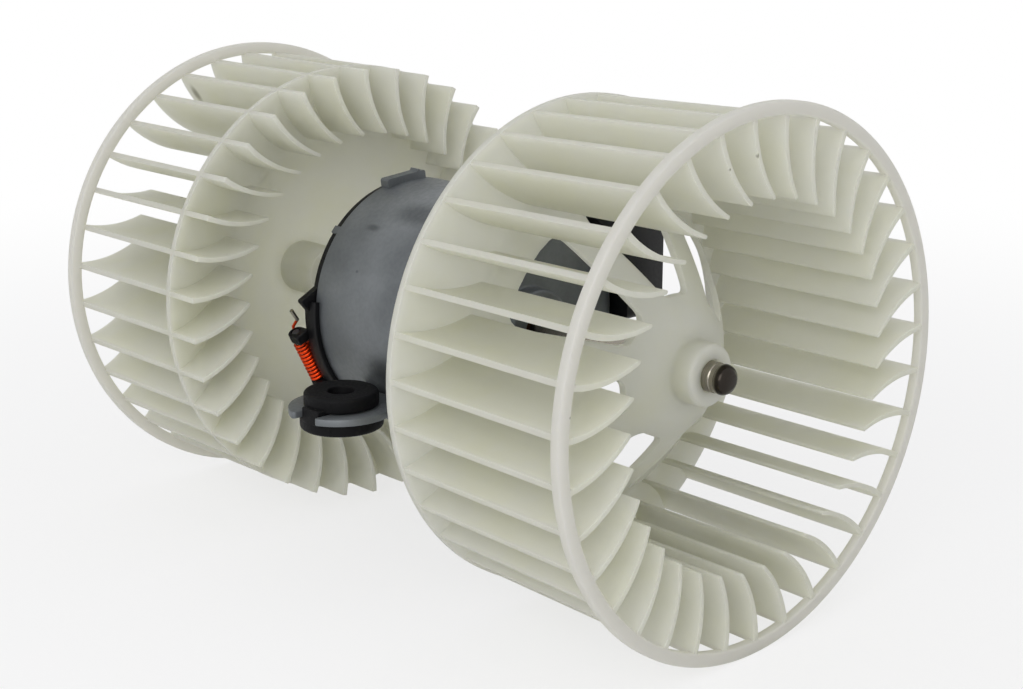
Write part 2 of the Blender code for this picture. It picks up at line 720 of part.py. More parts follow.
def add_card_ear(shape, side_turn):
    """The card's ear beside a choke: a pointed tip above it, then a rounded edge along it."""
    middle = CHOKE_ANGLE + side_turn
    edge = CAN_RADIUS + EAR_EDGE
    corners = [
        (-EAR_ROOT_TURN, CARD_RADIUS - EAR_WEB),
        (-EAR_ROOT_TURN, CARD_RADIUS),
        (-EAR_TIP_TURN, CAN_RADIUS + EAR_TIP),
        (-EAR_NECK_TURN, edge),
    ]
    span = (EAR_END_TURN + EAR_NECK_TURN) / EAR_STEPS
    corners += [(span * step - EAR_NECK_TURN, edge) for step in range(1, EAR_STEPS + 1)]
    corners += [(EAR_END_TURN, CARD_RADIUS - EAR_WEB)]
    outline = [around(middle + turn, radius)[1:] for turn, radius in corners]
    add_extrusion(shape, outline, CARD_OUTER_X, CARD_INNER_X)


def add_card_skirt(shape, side_turn):
    """The rim on a card ear that hooks over the edge of the can."""
    ends = (CARD_INNER_X - EAR_SKIRT_ROOT, CAN_MOUTH_X + EAR_SKIRT)
    profile = tube_profile(*ends, CAN_RADIUS + SEAT_GAP, CAN_RADIUS + EAR_EDGE)
    start = CHOKE_ANGLE + side_turn - EAR_TIP_TURN
    add_turned(shape, profile, SKIRT_FACETS, EAR_TIP_TURN + EAR_END_TURN, start)


def add_prongs(shape, side_turn):
    """Two rounded prongs on the card that hold the ends of a choke's rod."""
    seat = choke_seat(side_turn)
    root = CHOKE_X - CARD_OUTER_X - PRONG_ROOT
    section = [(-CHOKE_OUTER_RADIUS, root), (CHOKE_OUTER_RADIUS, root)]
    for step in range(PRONG_STEPS + 1):
        turn = math.pi * step / PRONG_STEPS
        section.append((CHOKE_OUTER_RADIUS * math.cos(turn), CHOKE_OUTER_RADIUS * math.sin(turn)))
    near = CHOKE_LENGTH / 2 + SEAT_GAP
    for low in (near, -near - PRONG_THICKNESS):
        high = low + PRONG_THICKNESS
        prong = bmesh.new()
        add_extrusion(prong, section, low, high)
        bmesh.ops.transform(prong, matrix=seat, verts=prong.verts)
        mesh = bpy.data.meshes.new("prong")
        prong.to_mesh(mesh)
        prong.free()
        shape.from_mesh(mesh)
        bpy.data.meshes.remove(mesh)


def brush_card(material, parent):
    """Moulded card across the can's mouth, with an ear each side that carries a choke."""
    disc = tube_profile(CARD_OUTER_X, CARD_INNER_X, CARD_HOLE_RADIUS, CARD_RADIUS)
    card = place("brush_card", turned("brush_card", disc, CAN_FACETS), material, parent)
    ears = bmesh.new()
    skirts = bmesh.new()
    prongs = bmesh.new()
    holes = bmesh.new()
    for side_turn in (0.0, math.pi):
        add_card_ear(ears, side_turn)
        add_card_skirt(skirts, side_turn)
        add_prongs(prongs, side_turn)
        profile = rod_profile(CORE_LENGTH + 2 * CUT_MARGIN, PRONG_HOLE_RADIUS)
        drill = turned("drill", profile, ROD_FACETS)
        drill.transform(choke_seat(side_turn))
        holes.from_mesh(drill)
        bpy.data.meshes.remove(drill)
    joined(card, "UNION", helper("card_ears", ears))
    joined(card, "UNION", helper("card_skirts", skirts))
    joined(card, "UNION", helper("card_prongs", prongs))
    joined(card, "DIFFERENCE", helper("rod_holes", holes))


def end_plate(material, parent):
    """Pressed steel plate over the brush card, with the second bearing boss."""
    inner = END_PLATE_INNER_X
    outer = inner - END_PLATE_THICKNESS
    boss_end = outer - BEARING_BOSS_LENGTH
    profile = [
        (inner, BEARING_SEAT_RADIUS),
        (inner, END_PLATE_RADIUS),
        (outer, END_PLATE_RADIUS),
        (outer, BEARING_BOSS_RADIUS),
        (boss_end + BEARING_BOSS_CHAMFER, BEARING_BOSS_RADIUS),
        (boss_end, BEARING_BOSS_RADIUS - BEARING_BOSS_CHAMFER),
        (boss_end, BOSS_HOLE_RADIUS),
        (boss_end + END_PLATE_THICKNESS, BOSS_HOLE_RADIUS),
        (boss_end + END_PLATE_THICKNESS, BEARING_SEAT_RADIUS),
    ]
    place("end_plate", turned("end_plate", profile, CAN_FACETS), material, parent)


def magnets(material, clip_material, parent):
    """Two arc magnets inside the can, pushed apart by a spring clip between their edges."""
    outer = MAGNET_OUTER_RADIUS
    low = ARMATURE_LOW_X - MAGNET_OVERLAP
    high = ARMATURE_HIGH_X + MAGNET_OVERLAP
    profile = tube_profile(low, high, MAGNET_INNER_RADIUS, outer)
    for name, middle in (("magnet_front", math.pi), ("magnet_rear", 0.0)):
        mesh = turned(name, profile, MAGNET_FACETS, MAGNET_SPREAD, middle - MAGNET_SPREAD / 2)
        place(name, mesh, material, parent)
    low = ARMATURE_LOW_X + CLIP_INSET
    high = ARMATURE_HIGH_X - CLIP_INSET
    profile = tube_profile(low, high, outer - CLIP_THICKNESS, outer)
    for name, middle in (("magnet_clip_upper", math.pi / 2), ("magnet_clip_lower", -math.pi / 2)):
        mesh = turned(name, profile, CLIP_FACETS, CLIP_SPREAD, middle - CLIP_SPREAD / 2)
        place(name, mesh, clip_material, parent)


def brush_gear(brush_material, tube_material, spring_material, parent, slides):
    """Carbon brushes above and below the commutator, each in its tube with a spring behind it."""
    half_x = BRUSH_AXIAL / 2 + BRUSH_CLEARANCE
    half_y = BRUSH_WIDTH / 2 + BRUSH_CLEARANCE
    centre_x = CAN_MOUTH_X + half_x + TUBE_WALL
    face = COMMUTATOR_RADIUS + SEAT_GAP
    tube_start = face + TUBE_SETBACK
    tube_floor = TUBE_END_RADIUS - TUBE_WALL
    spring_low = face + BRUSH_LENGTH + SEAT_GAP + SPRING_WIRE
    spring_high = tube_floor - SEAT_GAP - SPRING_WIRE
    for name, side in (("upper", 1), ("lower", -1)):
        slides[name].location = (centre_x, 0, side * face)
        brush = bmesh.new()
        add_side_box(brush, 0, (BRUSH_AXIAL / 2, BRUSH_WIDTH / 2), side, (0, BRUSH_LENGTH))
        mesh = to_mesh("brush_" + name, brush)
        place("brush_" + name, mesh, brush_material, slides[name])
        tube = bmesh.new()
        halves = (half_x + TUBE_WALL, half_y + TUBE_WALL)
        add_side_box(tube, centre_x, halves, side, (tube_start, TUBE_END_RADIUS))
        mesh = to_mesh("brush_tube_" + name, tube)
        holder = place("brush_tube_" + name, mesh, tube_material, parent)
        hollow = bmesh.new()
        add_side_box(hollow, centre_x, (half_x, half_y), side, (tube_start - CUT_MARGIN, tube_floor))
        joined(holder, "DIFFERENCE", helper("tube_hollow_" + name, hollow))
        points = helix(SPRING_RADIUS, spring_high - spring_low, SPRING_TURNS, SPRING_FACETS)
        mesh = wire_tube("brush_spring_" + name, points, SPRING_WIRE, WIRE_SIDES)
        mesh.transform(Matrix.Rotation(-math.pi / 2, 4, "Y"))
        spring = place("brush_spring_" + name, mesh, spring_material, parent)
        spring.location = (centre_x, 0, side * (spring_low + spring_high) / 2)


def chokes(wire_material, core_material, parent):
    """A ferrite rod wound with enamelled wire beside each ear of the brush card."""
    for name, side_turn in (("front", 0.0), ("rear", math.pi)):
        seat = choke_seat(side_turn)
        points = helix(CHOKE_RADIUS, CHOKE_LENGTH, CHOKE_TURNS, SPRING_FACETS)
        coil = wire_tube("choke_coil_" + name, points, CHOKE_WIRE / 2, WIRE_SIDES)
        place("choke_coil_" + name, coil, wire_material, parent, seat)
        rod = turned("choke_core_" + name, rod_profile(CORE_LENGTH, CORE_RADIUS), ROD_FACETS)
        place("choke_core_" + name, rod, core_material, parent, seat)


def connector(material, terminal_material, parent):
    """Moulded socket seated on the far side of the can, with two blade terminals inside it."""
    low_x = SOCKET_CENTRE_X - SOCKET_WIDTH / 2
    high_x = SOCKET_CENTRE_X + SOCKET_WIDTH / 2
    low_z = SOCKET_CENTRE_Z - SOCKET_HEIGHT / 2
    high_z = SOCKET_CENTRE_Z + SOCKET_HEIGHT / 2
    floor = SOCKET_REACH - SOCKET_DEPTH
    shape = bmesh.new()
    add_box(shape, (low_x, 0, low_z), (high_x, SOCKET_REACH, high_z))
    housing = place("connector_housing", to_mesh("connector_housing", shape), material, parent)
    saddle = bmesh.new()
    ends = (low_x - CUT_MARGIN, high_x + CUT_MARGIN)
    add_turned(saddle, tube_profile(*ends, 0.0, CAN_RADIUS + SEAT_GAP), CAN_FACETS)
    joined(housing, "DIFFERENCE", helper("saddle", saddle))
    recess = bmesh.new()
    low = (low_x + SOCKET_WALL, floor, low_z + SOCKET_WALL)
    high = (high_x - SOCKET_WALL, SOCKET_REACH + CUT_MARGIN, high_z - SOCKET_WALL)
    add_box(recess, low, high)
    joined(housing, "DIFFERENCE", helper("recess", recess))
    half_x = TERMINAL_WIDTH / 2
    half_z = TERMINAL_THICKNESS / 2
    start = floor + SEAT_GAP
    for name, side in (("terminal_upper", 1), ("terminal_lower", -1)):
        z = SOCKET_CENTRE_Z + side * TERMINAL_SPACING / 2
        low = (SOCKET_CENTRE_X - half_x, start, z - half_z)
        high = (SOCKET_CENTRE_X + half_x, start + TERMINAL_LENGTH, z + half_z)
        blade = bmesh.new()
        add_box(blade, low, high)
        place(name, to_mesh(name, blade), terminal_material, parent)


def ear_outline(side, root):
    """A bracket ear from above: straight sides out from the can that run into its round end."""
    half = BRACKET_WIDTH / 2
    start = math.asin(half / BRACKET_EAR_RADIUS)
    span = 2 * (math.pi - start) / BRACKET_FACETS
    outline = [(-half, side * root), (half, side * root)]
    for step in range(BRACKET_FACETS + 1):
        angle = start + span * step
        out = BRACKET_EAR_REACH - BRACKET_EAR_RADIUS * math.cos(angle)
        outline.append((BRACKET_EAR_RADIUS * math.sin(angle), side * out))
    return outline


def ear_seat(side):
    """The middle of an ear's hole, with X turned to point up."""
    middle = Matrix.Translation((0, side * BRACKET_EAR_REACH, BRACKET_EAR_Z))
    return middle @ Matrix.Rotation(-math.pi / 2, 4, "Y")


def fork_box(side, gap, near, far, half_height):
    """A box along the fork's slot, between two distances out from the middle of the ear's hole."""
    half_width = EAR_SLOT_WIDTH / 2 - gap
    low_y, high_y = sorted(side * (BRACKET_EAR_REACH + reach) for reach in (near, far))
    shape = bmesh.new()
    low = (EAR_SLOT_SHIFT - half_width, low_y, BRACKET_EAR_Z - half_height)
    high = (EAR_SLOT_SHIFT + half_width, high_y, BRACKET_EAR_Z + half_height)
    add_box(shape, low, high)
    return shape


def bracket(material, parent):
    """One formed strip: a cradle under the can that turns out into a level fork on each side."""
    inner = CAN_RADIUS + SEAT_GAP
    outer = inner + BRACKET_THICKNESS
    half_wall = BRACKET_THICKNESS / 2
    rise = math.asin(-BRACKET_EAR_Z / (inner + half_wall))
    profile = tube_profile(-BRACKET_WIDTH / 2, BRACKET_WIDTH / 2, inner, outer)
    sweep = math.pi - 2 * rise
    mesh = turned("mounting_bracket", profile, BRACKET_FACETS, sweep, math.pi + rise)
    cradle = place("mounting_bracket", mesh, material, parent)
    root = math.sqrt(outer**2 - BRACKET_EAR_Z**2) - half_wall
    bottom = BRACKET_EAR_Z - half_wall
    top = BRACKET_EAR_Z + half_wall
    for name, side in (("front", -1), ("rear", 1)):
        ear = bmesh.new()
        outline = ear_outline(side, root)
        ends = add_prism(ear, outline, lambda p: (*p, bottom), lambda p: (*p, top))
        for end in ends:
            ear.faces.new(end)
        joined(cradle, "UNION", helper("ear_" + name, ear))
        hole = bmesh.new()
        ends = (-half_wall - CUT_MARGIN, half_wall + CUT_MARGIN)
        add_turned(hole, tube_profile(*ends, 0.0, EAR_HOLE_RADIUS), SMALL_FACETS)
        bmesh.ops.transform(hole, matrix=ear_seat(side), verts=hole.verts)
        joined(cradle, "DIFFERENCE", helper("ear_hole_" + name, hole))
        slot = fork_box(side, 0.0, 0.0, BRACKET_EAR_RADIUS + CUT_MARGIN, ends[1])
        joined(cradle, "DIFFERENCE", helper("ear_slot_" + name, slot))


def grommets(material, parent):
    """Rubber grommets slid into the forks: a grooved waist, a bore, and a web in the fork's slot."""
    groove = BRACKET_THICKNESS / 2 + SEAT_GAP
    waist = EAR_HOLE_RADIUS - SEAT_GAP
    top = groove + GROMMET_TOP_THICKNESS
    base = -groove - GROMMET_BASE_THICKNESS
    profile = [
        (base, GROMMET_BORE_RADIUS),
        (base, GROMMET_BASE_RADIUS - GROMMET_EDGE),
        (base + GROMMET_EDGE, GROMMET_BASE_RADIUS),
        (-groove, GROMMET_BASE_RADIUS),
        (-groove, waist),
        (groove, waist),
        (groove, GROMMET_TOP_RADIUS),
        (top - GROMMET_EDGE, GROMMET_TOP_RADIUS),
        (top, GROMMET_TOP_RADIUS - GROMMET_EDGE),
        (top, GROMMET_BORE_RADIUS),
    ]
    web_root = GROMMET_BORE_RADIUS + GROMMET_WEB_WALL
    web_height = groove + GROMMET_WEB_LIP
    for name, side in (("grommet_front", -1), ("grommet_rear", 1)):
        mesh = turned(name, profile, SMALL_FACETS)
        grommet = place(name, mesh, material, parent, ear_seat(side))
        web = fork_box(side, SEAT_GAP, web_root, GROMMET_BASE_RADIUS, web_height)
        joined(grommet, "UNION", helper(name + "_web", web))


def empty(name, parent=None):
    made = bpy.data.objects.new(name, None)
    bpy.context.collection.objects.link(made)
    made.parent = parent
    return made


def build():
    clear_scene()
    nylon = finish("natural_nylon", (0.56, 0.55, 0.45), 0.4)
    zinc = finish("zinc_plated_steel", (0.14, 0.155, 0.16), 0.45, 0.8)
    steel = finish("ground_steel", (0.42, 0.40, 0.37), 0.3, 1.0)
    spring = finish("spring_steel", (0.35, 0.35, 0.36), 0.35, 1.0)
    bronze = finish("sintered_bronze", (0.36, 0.22, 0.10), 0.55, 0.9)
    brass = finish("brass", (0.60, 0.42, 0.16), 0.35, 1.0)
    copper = finish("enamelled_copper", (0.72, 0.10, 0.02), 0.3, 0.4)
    bars = finish("bare_copper", (0.70, 0.32, 0.18), 0.35, 1.0)
    iron = finish("laminated_iron", (0.20, 0.20, 0.21), 0.5, 0.8)
    ferrite = finish("ferrite", (0.035, 0.035, 0.04), 0.7)
    carbon = finish("carbon", (0.03, 0.03, 0.032), 0.6)
    black = finish("black_moulding", (0.012, 0.012, 0.013), 0.4)
    rubber = finish("black_rubber", (0.008, 0.008, 0.009), 0.55)
    washer = finish("washer_fibre", (0.30, 0.16, 0.08), 0.7)
    motor = empty("motor")
    rotor = empty("rotor", motor)
    slides = {name: empty("slide_" + name, motor) for name in ("upper", "lower")}
    fan_wheels(nylon, rotor)
    shaft(steel, rotor)
    armature_core(iron, rotor)
    armature_winding(copper, rotor)
    commutator(bars, rotor)
    motor_can(zinc, motor)
    end_plate(zinc, motor)
    brush_card(black, motor)
    bearings(bronze, spring, washer, motor, rotor)
    magnets(ferrite, spring, motor)
    brush_gear(carbon, brass, spring, motor, slides)
    chokes(copper, ferrite, motor)
    connector(black, brass, motor)
    bracket(zinc, motor)
    grommets(rubber, motor)


build()
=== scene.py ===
"""Finishes and fine meshes for a cabin blower motor with a bladed fan wheel on each end of its shaft.

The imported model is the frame: the shaft lies along X, +Z is up, and lengths are metres.
Angles about the shaft are counted from +Y towards +Z.
"""

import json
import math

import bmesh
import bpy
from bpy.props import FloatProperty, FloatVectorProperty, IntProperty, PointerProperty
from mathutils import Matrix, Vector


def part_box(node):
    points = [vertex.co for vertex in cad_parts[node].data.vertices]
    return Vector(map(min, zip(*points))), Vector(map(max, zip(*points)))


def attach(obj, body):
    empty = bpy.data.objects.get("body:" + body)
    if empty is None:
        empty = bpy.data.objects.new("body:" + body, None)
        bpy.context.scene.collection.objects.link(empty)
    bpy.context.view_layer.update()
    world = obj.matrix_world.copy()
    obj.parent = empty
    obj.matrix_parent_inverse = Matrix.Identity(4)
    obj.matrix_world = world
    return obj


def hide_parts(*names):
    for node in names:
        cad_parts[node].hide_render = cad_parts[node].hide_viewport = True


bl_info = {
    "name": "Cabin Blower Motor",
    "version": (1, 0, 0),
    "blender": (4, 5, 0),
    "location": "3D View > Sidebar > Blower",
    "description": "Builds the visible pieces of a double-shaft cabin blower motor and their finishes",
    "category": "Object",
}

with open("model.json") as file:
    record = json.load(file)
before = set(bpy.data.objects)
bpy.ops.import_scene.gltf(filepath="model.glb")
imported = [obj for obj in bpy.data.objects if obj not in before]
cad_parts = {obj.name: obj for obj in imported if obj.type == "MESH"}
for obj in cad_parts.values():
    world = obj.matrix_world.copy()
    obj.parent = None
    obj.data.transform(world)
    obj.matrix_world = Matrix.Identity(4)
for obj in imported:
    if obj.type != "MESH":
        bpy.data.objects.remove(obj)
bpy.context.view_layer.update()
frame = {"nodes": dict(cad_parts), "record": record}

MM = 0.001
FULL_TURN = 2 * math.pi
SEAT_GAP = 0.3 * MM

FAN_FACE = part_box("fan_right")[1].x
RING_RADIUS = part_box("fan_right")[1].y
FLOOR_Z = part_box("fan_right")[0].z
CARD_INNER_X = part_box("motor_can")[0].x
CARD_OUTER_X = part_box("end_plate")[1].x + SEAT_GAP
SHAFT_END_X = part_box("shaft")[1].x

# The chokes' angles from the first one, and the sides of the can on which the ears lie.
CHOKES = (("front", 0.0), ("rear", math.pi))
EARS = (("front", -1), ("rear", 1))

# Marks that the photo shows on the fans and on the can, one of those on the can being painted shade: middle
# in mm, turn in degrees, half lengths in mm.
LEVEL = (0.0, 0.0, 0.0)
SCUFFS = (
    ((-111.0, -25.0, 59.7), (-31.0, 59.0, 20.0), (5.2, 4.5, 1.6)),
    ((115.2, -16.7, 59.6), LEVEL, (1.2, 0.5, 0.5)),
    ((115.2, -6.1, 61.9), LEVEL, (1.0, 0.5, 0.9)),
    ((115.5, -70.9, 8.0), LEVEL, (0.8, 0.8, 0.5)),
)
STAINS_AND_SHADE = (
    ((0.0, -19.6, 32.7), LEVEL, (15.0, 9.0, 4.5)),
    # The patch on the can's lower front, just above the bracket's front bend, is painted shade; the other
    # three are stains.
    ((1.7, -36.2, -12.1), LEVEL, (9.0, 4.0, 7.0)),
    ((-14.2, -26.3, 27.7), LEVEL, (4.5, 2.0, 1.6)),
    ((-11.6, -34.7, 15.9), LEVEL, (1.0, 0.7, 0.7)),
)

SMOOTH = {"interpolation_type": "SMOOTHSTEP"}


def linear(hex_colour):
    """An sRGB hex colour as linear red, green and blue."""
    channels = [int(hex_colour[at:at + 2], 16) / 255 for at in (1, 3, 5)]
    return [c / 12.92 if c <= 0.04045 else ((c + 0.055) / 1.055) ** 2.4 for c in channels]


def length(name, description, millimetres, low=0.0):
    """A length property, its default given in millimetres."""
    return FloatProperty(
        name=name, description=description, default=millimetres * MM, min=low, unit="LENGTH", precision=5
    )


def angle(name, description, degrees):
    """An angle property, its default given in degrees."""
    return FloatProperty(name=name, description=description, default=math.radians(degrees), unit="ROTATION")


def colour(name, description, hex_colour):
    """A colour property, its default given as sRGB hex."""
    return FloatVectorProperty(
        name=name, description=description, default=linear(hex_colour),
        size=3, subtype="COLOR", min=0.0, max=1.0,
    )


class FanSizes(bpy.types.PropertyGroup):
    """Sizes of the two moulded fan wheels."""

    blades: IntProperty(name="Blades", description="Blades round each wheel", default=35, min=7)
    ring_width: length("Ring width", "Ring along the shaft", 3.0)
    ring_wall: length("Ring wall", "Ring from its outer to its inner face", 3.8)
    ring_edge: length("Ring edge", "Rounding on the ring's corners", 0.6)
    blade_root: length("Blade root", "Radius at which a blade leaves the ring", 71.0)
    blade_inner: length("Blade inner edge", "Radius of the blades' inner edges", 50.2)
    blade_bend: length("Blade bend", "Radius of a blade's curve", 36.4)
    blade_wall: length("Blade thickness", "Blade thickness at the ring", 1.6)
    tip_wall: length("Tip thickness", "Blade thickness at its inner edge", 1.1)
    plate_radius: length("Plate radius", "Outer radius of the back plate", 71.2)
    plate_wall: length("Plate thickness", "Thickness of the back plate", 1.8)
    neck_radius: length("Neck radius", "Where the bell turns out into the plate", 50.0)
    neck_drop: length("Plate cone", "How far the plate slopes between neck and rim", 5.3)
    neck_fillet: length("Neck fillet", "How far the curve at the neck reaches each way", 2.0)
    boss_radius: length("Boss radius", "Radius of the hub boss", 8.8)
    boss_depth: length("Boss depth", "From the ring's face to the boss", 18.0)
    boss_nose: length("Boss nose", "Length of the boss in front of the bell", 6.5)
    boss_sleeve: length("Boss sleeve", "Length of the hub's bored sleeve", 26.0)
    bell_wall: length("Bell wall", "Thickness of the bell", 1.8)
    bell_curve: FloatProperty(name="Bell curve", description="How strongly the bell flares", default=1.35)
    spokes: IntProperty(name="Spokes", description="Spokes between the bell's windows", default=7, min=3)
    spoke_width: length("Spoke width", "Width of each spoke", 9.0)
    window_inner: length("Window inner radius", "Inner end of the windows", 20.0)
    window_outer: length("Window outer radius", "Outer end of the windows", 44.0)
    window_corner: length("Window corner", "Corner radius of the windows", 3.0)
    right_plate: length("Right plate depth", "From the right ring's face to its plate", 66.3)
    left_plate: length("Left plate depth", "From the left ring's face to its plate", 55.0)
    left_overhang: length("Left overhang", "How far the left blades pass their plate", 14.5)
    right_blade: angle("Right blade angle", "Angle of the right wheel's first blade", 106.4)
    left_blade: angle("Left blade angle", "Angle of the left wheel's first blade", 133.5)
    right_spoke: angle("Right spoke angle", "Angle of the right wheel's first spoke", 64.5)


class MotorSizes(bpy.types.PropertyGroup):
    """Sizes of the motor, its bracket and its small parts."""

    shaft_radius: length("Shaft radius", "Radius of the ground shaft", 4.25)
    shaft_length: length("Shaft length", "Shaft from end to end", 209.0)
    shaft_ease: length("Shaft rounding", "Step in which the shaft's ends are rounded", 0.8)
    shaft_groove: length("Shaft groove", "Depth of the groove inside each hub's face", 0.25)
    can_radius: length("Can radius", "Outer radius of the motor can", 38.3)
    can_wall: length("Can wall", "Sheet thickness of the can", 1.6)
    can_mouth: length("Can mouth", "X of the can's open end", -28.5, low=-1.0)
    can_end: length("Can end", "X of the can's closed end", 25.0)
    can_shoulder: length("Can shoulder", "Rounding of the can's closed end", 4.0)
    boss_radius: length("Bearing boss radius", "Radius of the pressed bearing bosses", 12.0)
    boss_length: length("Bearing boss length", "How far the bearing bosses stand out", 6.5)
    boss_hole: length("Boss hole", "Radius of the hole round the shaft", 6.0)
    bearing_radius: length("Bearing radius", "Radius of the bearing seats", 10.0)
    bearing_crown: length("Bearing crown", "How far the bushes' crowned sides fall away", 1.2)
    retainer_hole: length("Retainer hole", "Radius of the hole in the spring retainers", 8.6)
    tab_angle: angle("Rim tab angle", "Place of the tab round the rim", 96.0)
    tab_width: length("Rim tab width", "Width of the tab on the rim", 15.0)
    tab_height: length("Rim tab height", "How far the tab stands up", 2.0)
    tab_length: length("Rim tab length", "Length of the tab along the can", 3.5)
    tab_nib: length("Rim tab nib", "Height of the nib on the tab", 0.9)
    lug_angle: angle("Crimp lug angle", "Place of the bent lug round the rim", 138.5)
    lug_width: length("Crimp lug width", "Width of the bent lug", 2.6)
    lug_length: length("Crimp lug length", "How far the bent lug stands out along the shaft", 2.8)
    card_radius: length("Brush card radius", "Radius of the moulded brush card", 37.5)
    card_hole: length("Brush card hole", "Radius of the hole round the commutator", 13.1)
    card_edge: length("Card ear edge", "How far a card ear's edge stands out past the can", 2.0)
    card_tip: length("Card ear tip", "How far a card ear's pointed tip stands out past the can", 5.2)
    card_web: length("Card ear web", "How far a card ear's root lies inside the card's rim", 3.0)
    card_skirt: length("Card ear skirt", "How far the ear's rim hooks over the can", 2.4)
    root_turn: angle("Card ear root", "From the choke's middle to the ear's root", -35.0)
    tip_turn: angle("Card ear tip angle", "From the choke's middle to the ear's tip", -28.5)
    neck_turn: angle("Card ear neck", "From the choke's middle to the neck under the tip", -24.0)
    end_turn: angle("Card ear end", "From the choke's middle to the ear's far end", 17.5)
    choke_angle: angle("Choke angle", "Place of the first choke round the card", 202.0)
    choke_tilt: angle("Choke tilt", "How far a choke leans from square to its radius", 4.5)
    end_plate: length("End plate radius", "Radius of the end plate", 35.5)
    plate_wall: length("End plate thickness", "Sheet thickness of the end plate", 1.5)
    coil_radius: length("Choke coil radius", "Mean radius of the choke coils", 2.05)
    coil_wire: length("Choke wire", "Diameter of the choke coils' wire", 1.0)
    coil_turns: IntProperty(name="Choke turns", description="Turns on each choke coil", default=11, min=2)
    coil_place: length("Choke place", "Radius at which the chokes sit", 40.1)
    prong: length("Prong thickness", "Thickness of the prongs that hold the rods", 3.2)
    strip_wall: length("Bracket thickness", "Sheet thickness of the bracket", 2.0)
    strip_width: length("Bracket width", "Width of the bracket's cradle", 24.0)
    strip_bend: length("Bracket bend", "Inner radius where an ear turns out of the cradle", 3.0)
    ear_radius: length("Ear radius", "Radius of the ears' round ends", 15.5)
    ear_join: length("Ear join", "From the shaft to where an ear's flat part begins", 41.0)
    slot_width: length("Fork slot", "Width of the slot that opens the grommet's hole", 8.5)
    slot_shift: length("Fork slot shift", "From the hole's middle to the slot's, along the shaft", 1.25)
    ear_hole: length("Ear hole", "Radius of the grommets' holes", 7.5)
    ear_reach: length("Ear reach", "From the shaft to the grommets' axes", 50.5)
    ear_z: length("Ear height", "Z of the ears", -20.5, low=-1.0)
    bore: length("Grommet bore", "Radius of the screw's bore", 4.0)
    top_radius: length("Grommet top radius", "Radius of the upper flange", 11.0)
    top_wall: length("Grommet top thickness", "Thickness of the upper flange", 4.3)
    base_radius: length("Grommet base radius", "Radius of the lower flange", 12.3)
    base_wall: length("Grommet base thickness", "Thickness of the lower flange", 4.1)
    grommet_edge: length("Grommet edge", "Rounding on the flanges", 1.0)
    dish: length("Grommet dish", "How deep the bore's rim lies under the top", 0.25)
    seam_turn: angle("Grommet seam", "Place of the mould's parting line round the grommets", 37.0)
    web_wall: length("Grommet web wall", "From the bore to the web in the fork's slot", 1.5)
    web_lip: length("Grommet web lip", "How far the web stands past the groove", 1.0)
    socket_wall: length("Socket wall", "Wall of the connector housing", 3.0)
    socket_depth: length("Socket depth", "Depth of the connector housing's recess", 12.0)
    blade_taper: length("Terminal taper", "How far a terminal's nose narrows on each side", 0.9)
    blade_hole: length("Terminal hole", "Radius of the hole in a terminal", 0.8)
    blade_hole_place: length("Terminal hole place", "From a terminal's end to its hole", 3.2)


class Colours(bpy.types.PropertyGroup):
    """Colours of the finishes."""

    nylon: colour("Nylon", "Milky natural nylon", "#ecece6")
    nylon_rim: colour("Nylon rim", "The greyer tone of the thick rings", "#dbd8d9")
    nylon_deep: colour("Nylon in depth", "The yellower tone of thick or shaded nylon", "#ebebda")
    zinc: colour("Zinc plate", "Dull blue-grey zinc plate", "#777b7e")
    zinc_dark: colour("Zinc plate clouds", "Darker clouds in the zinc plate", "#5f6366")
    steel: colour("Ground steel", "Bright ground steel", "#989388")
    oxide: colour("Shaft ends", "Dark oxide on the shaft's ends", "#34302c")
    copper: colour("Enamelled copper", "Orange-red wire enamel", "#d8400f")
    moulding: colour("Black moulding", "Black filled nylon", "#0c0c0e")
    rubber: colour("Black rubber", "Black NBR rubber", "#08080a")
    brass: colour("Brass", "Rolled brass", "#b99a5b")
    bronze: colour("Sintered bronze", "Oil-soaked sintered bronze", "#8f6a44")
    bare_copper: colour("Bare copper", "Turned commutator copper", "#c98560")
    iron: colour("Laminated iron", "Stacked electrical sheet", "#66676b")
    ferrite: colour("Ferrite", "Pressed ferrite", "#2b2b2e")
    carbon: colour("Carbon", "Brush carbon", "#29292b")
    fibre: colour("Fibre", "Vulcanised fibre washers", "#7c5538")
    # Colour of the stains on the can, and of the painted shade above the bracket's front bend.
    stain_and_shade: colour("Stains", "Dull dark stains on the can", "#54585b")
    scuff: colour("Scuffs", "Dark rubbed-in dirt", "#2e2b2b")
    floor: colour("Floor", "Pale floor and backdrop", "#f2f2f2")


def fill(tree, node, inputs):
    """Sets a node's inputs: a socket is linked in, and a colour gets its alpha."""
    for key, value in inputs.items():
        socket = node.inputs[key]
        if isinstance(value, bpy.types.NodeSocket):
            tree.links.new(value, socket)
        elif socket.type == "RGBA":
            socket.default_value = (*value, 1.0)
        else:
            socket.default_value = value


def add(tree, kind, inputs, output=0, **attributes):
    """Adds a node with its settings and links, and returns one of its outputs."""
    node = tree.nodes.new(kind)
    for name, value in attributes.items():
        setattr(node, name, value)
    fill(tree, node, inputs)
    return node.outputs[output]


def grains(place, millimetres, detail=3.0):
    """Inputs of a noise whose features have this size, for object coordinates in metres."""
    return {"Vector": place, "Scale": 1.0 / (millimetres * MM), "Detail": detail, "Roughness": 0.55}


def spread(pattern, reach, low, high):
    """Inputs that map a pattern's values, within this reach of a half, to a new low and high."""
    old = {"Value": pattern, "From Min": 0.5 - reach, "From Max": 0.5 + reach}
    return {**old, "To Min": low, "To Max": high}


def new_finish(name):
    """A material with its tree, its Principled shader and the object coordinates of its surface."""
    material = bpy.data.materials.new(name)
    material.use_nodes = True
    tree = material.node_tree
    return material, tree, tree.nodes["Principled BSDF"], add(tree, "ShaderNodeTexCoord", {}, "Object")


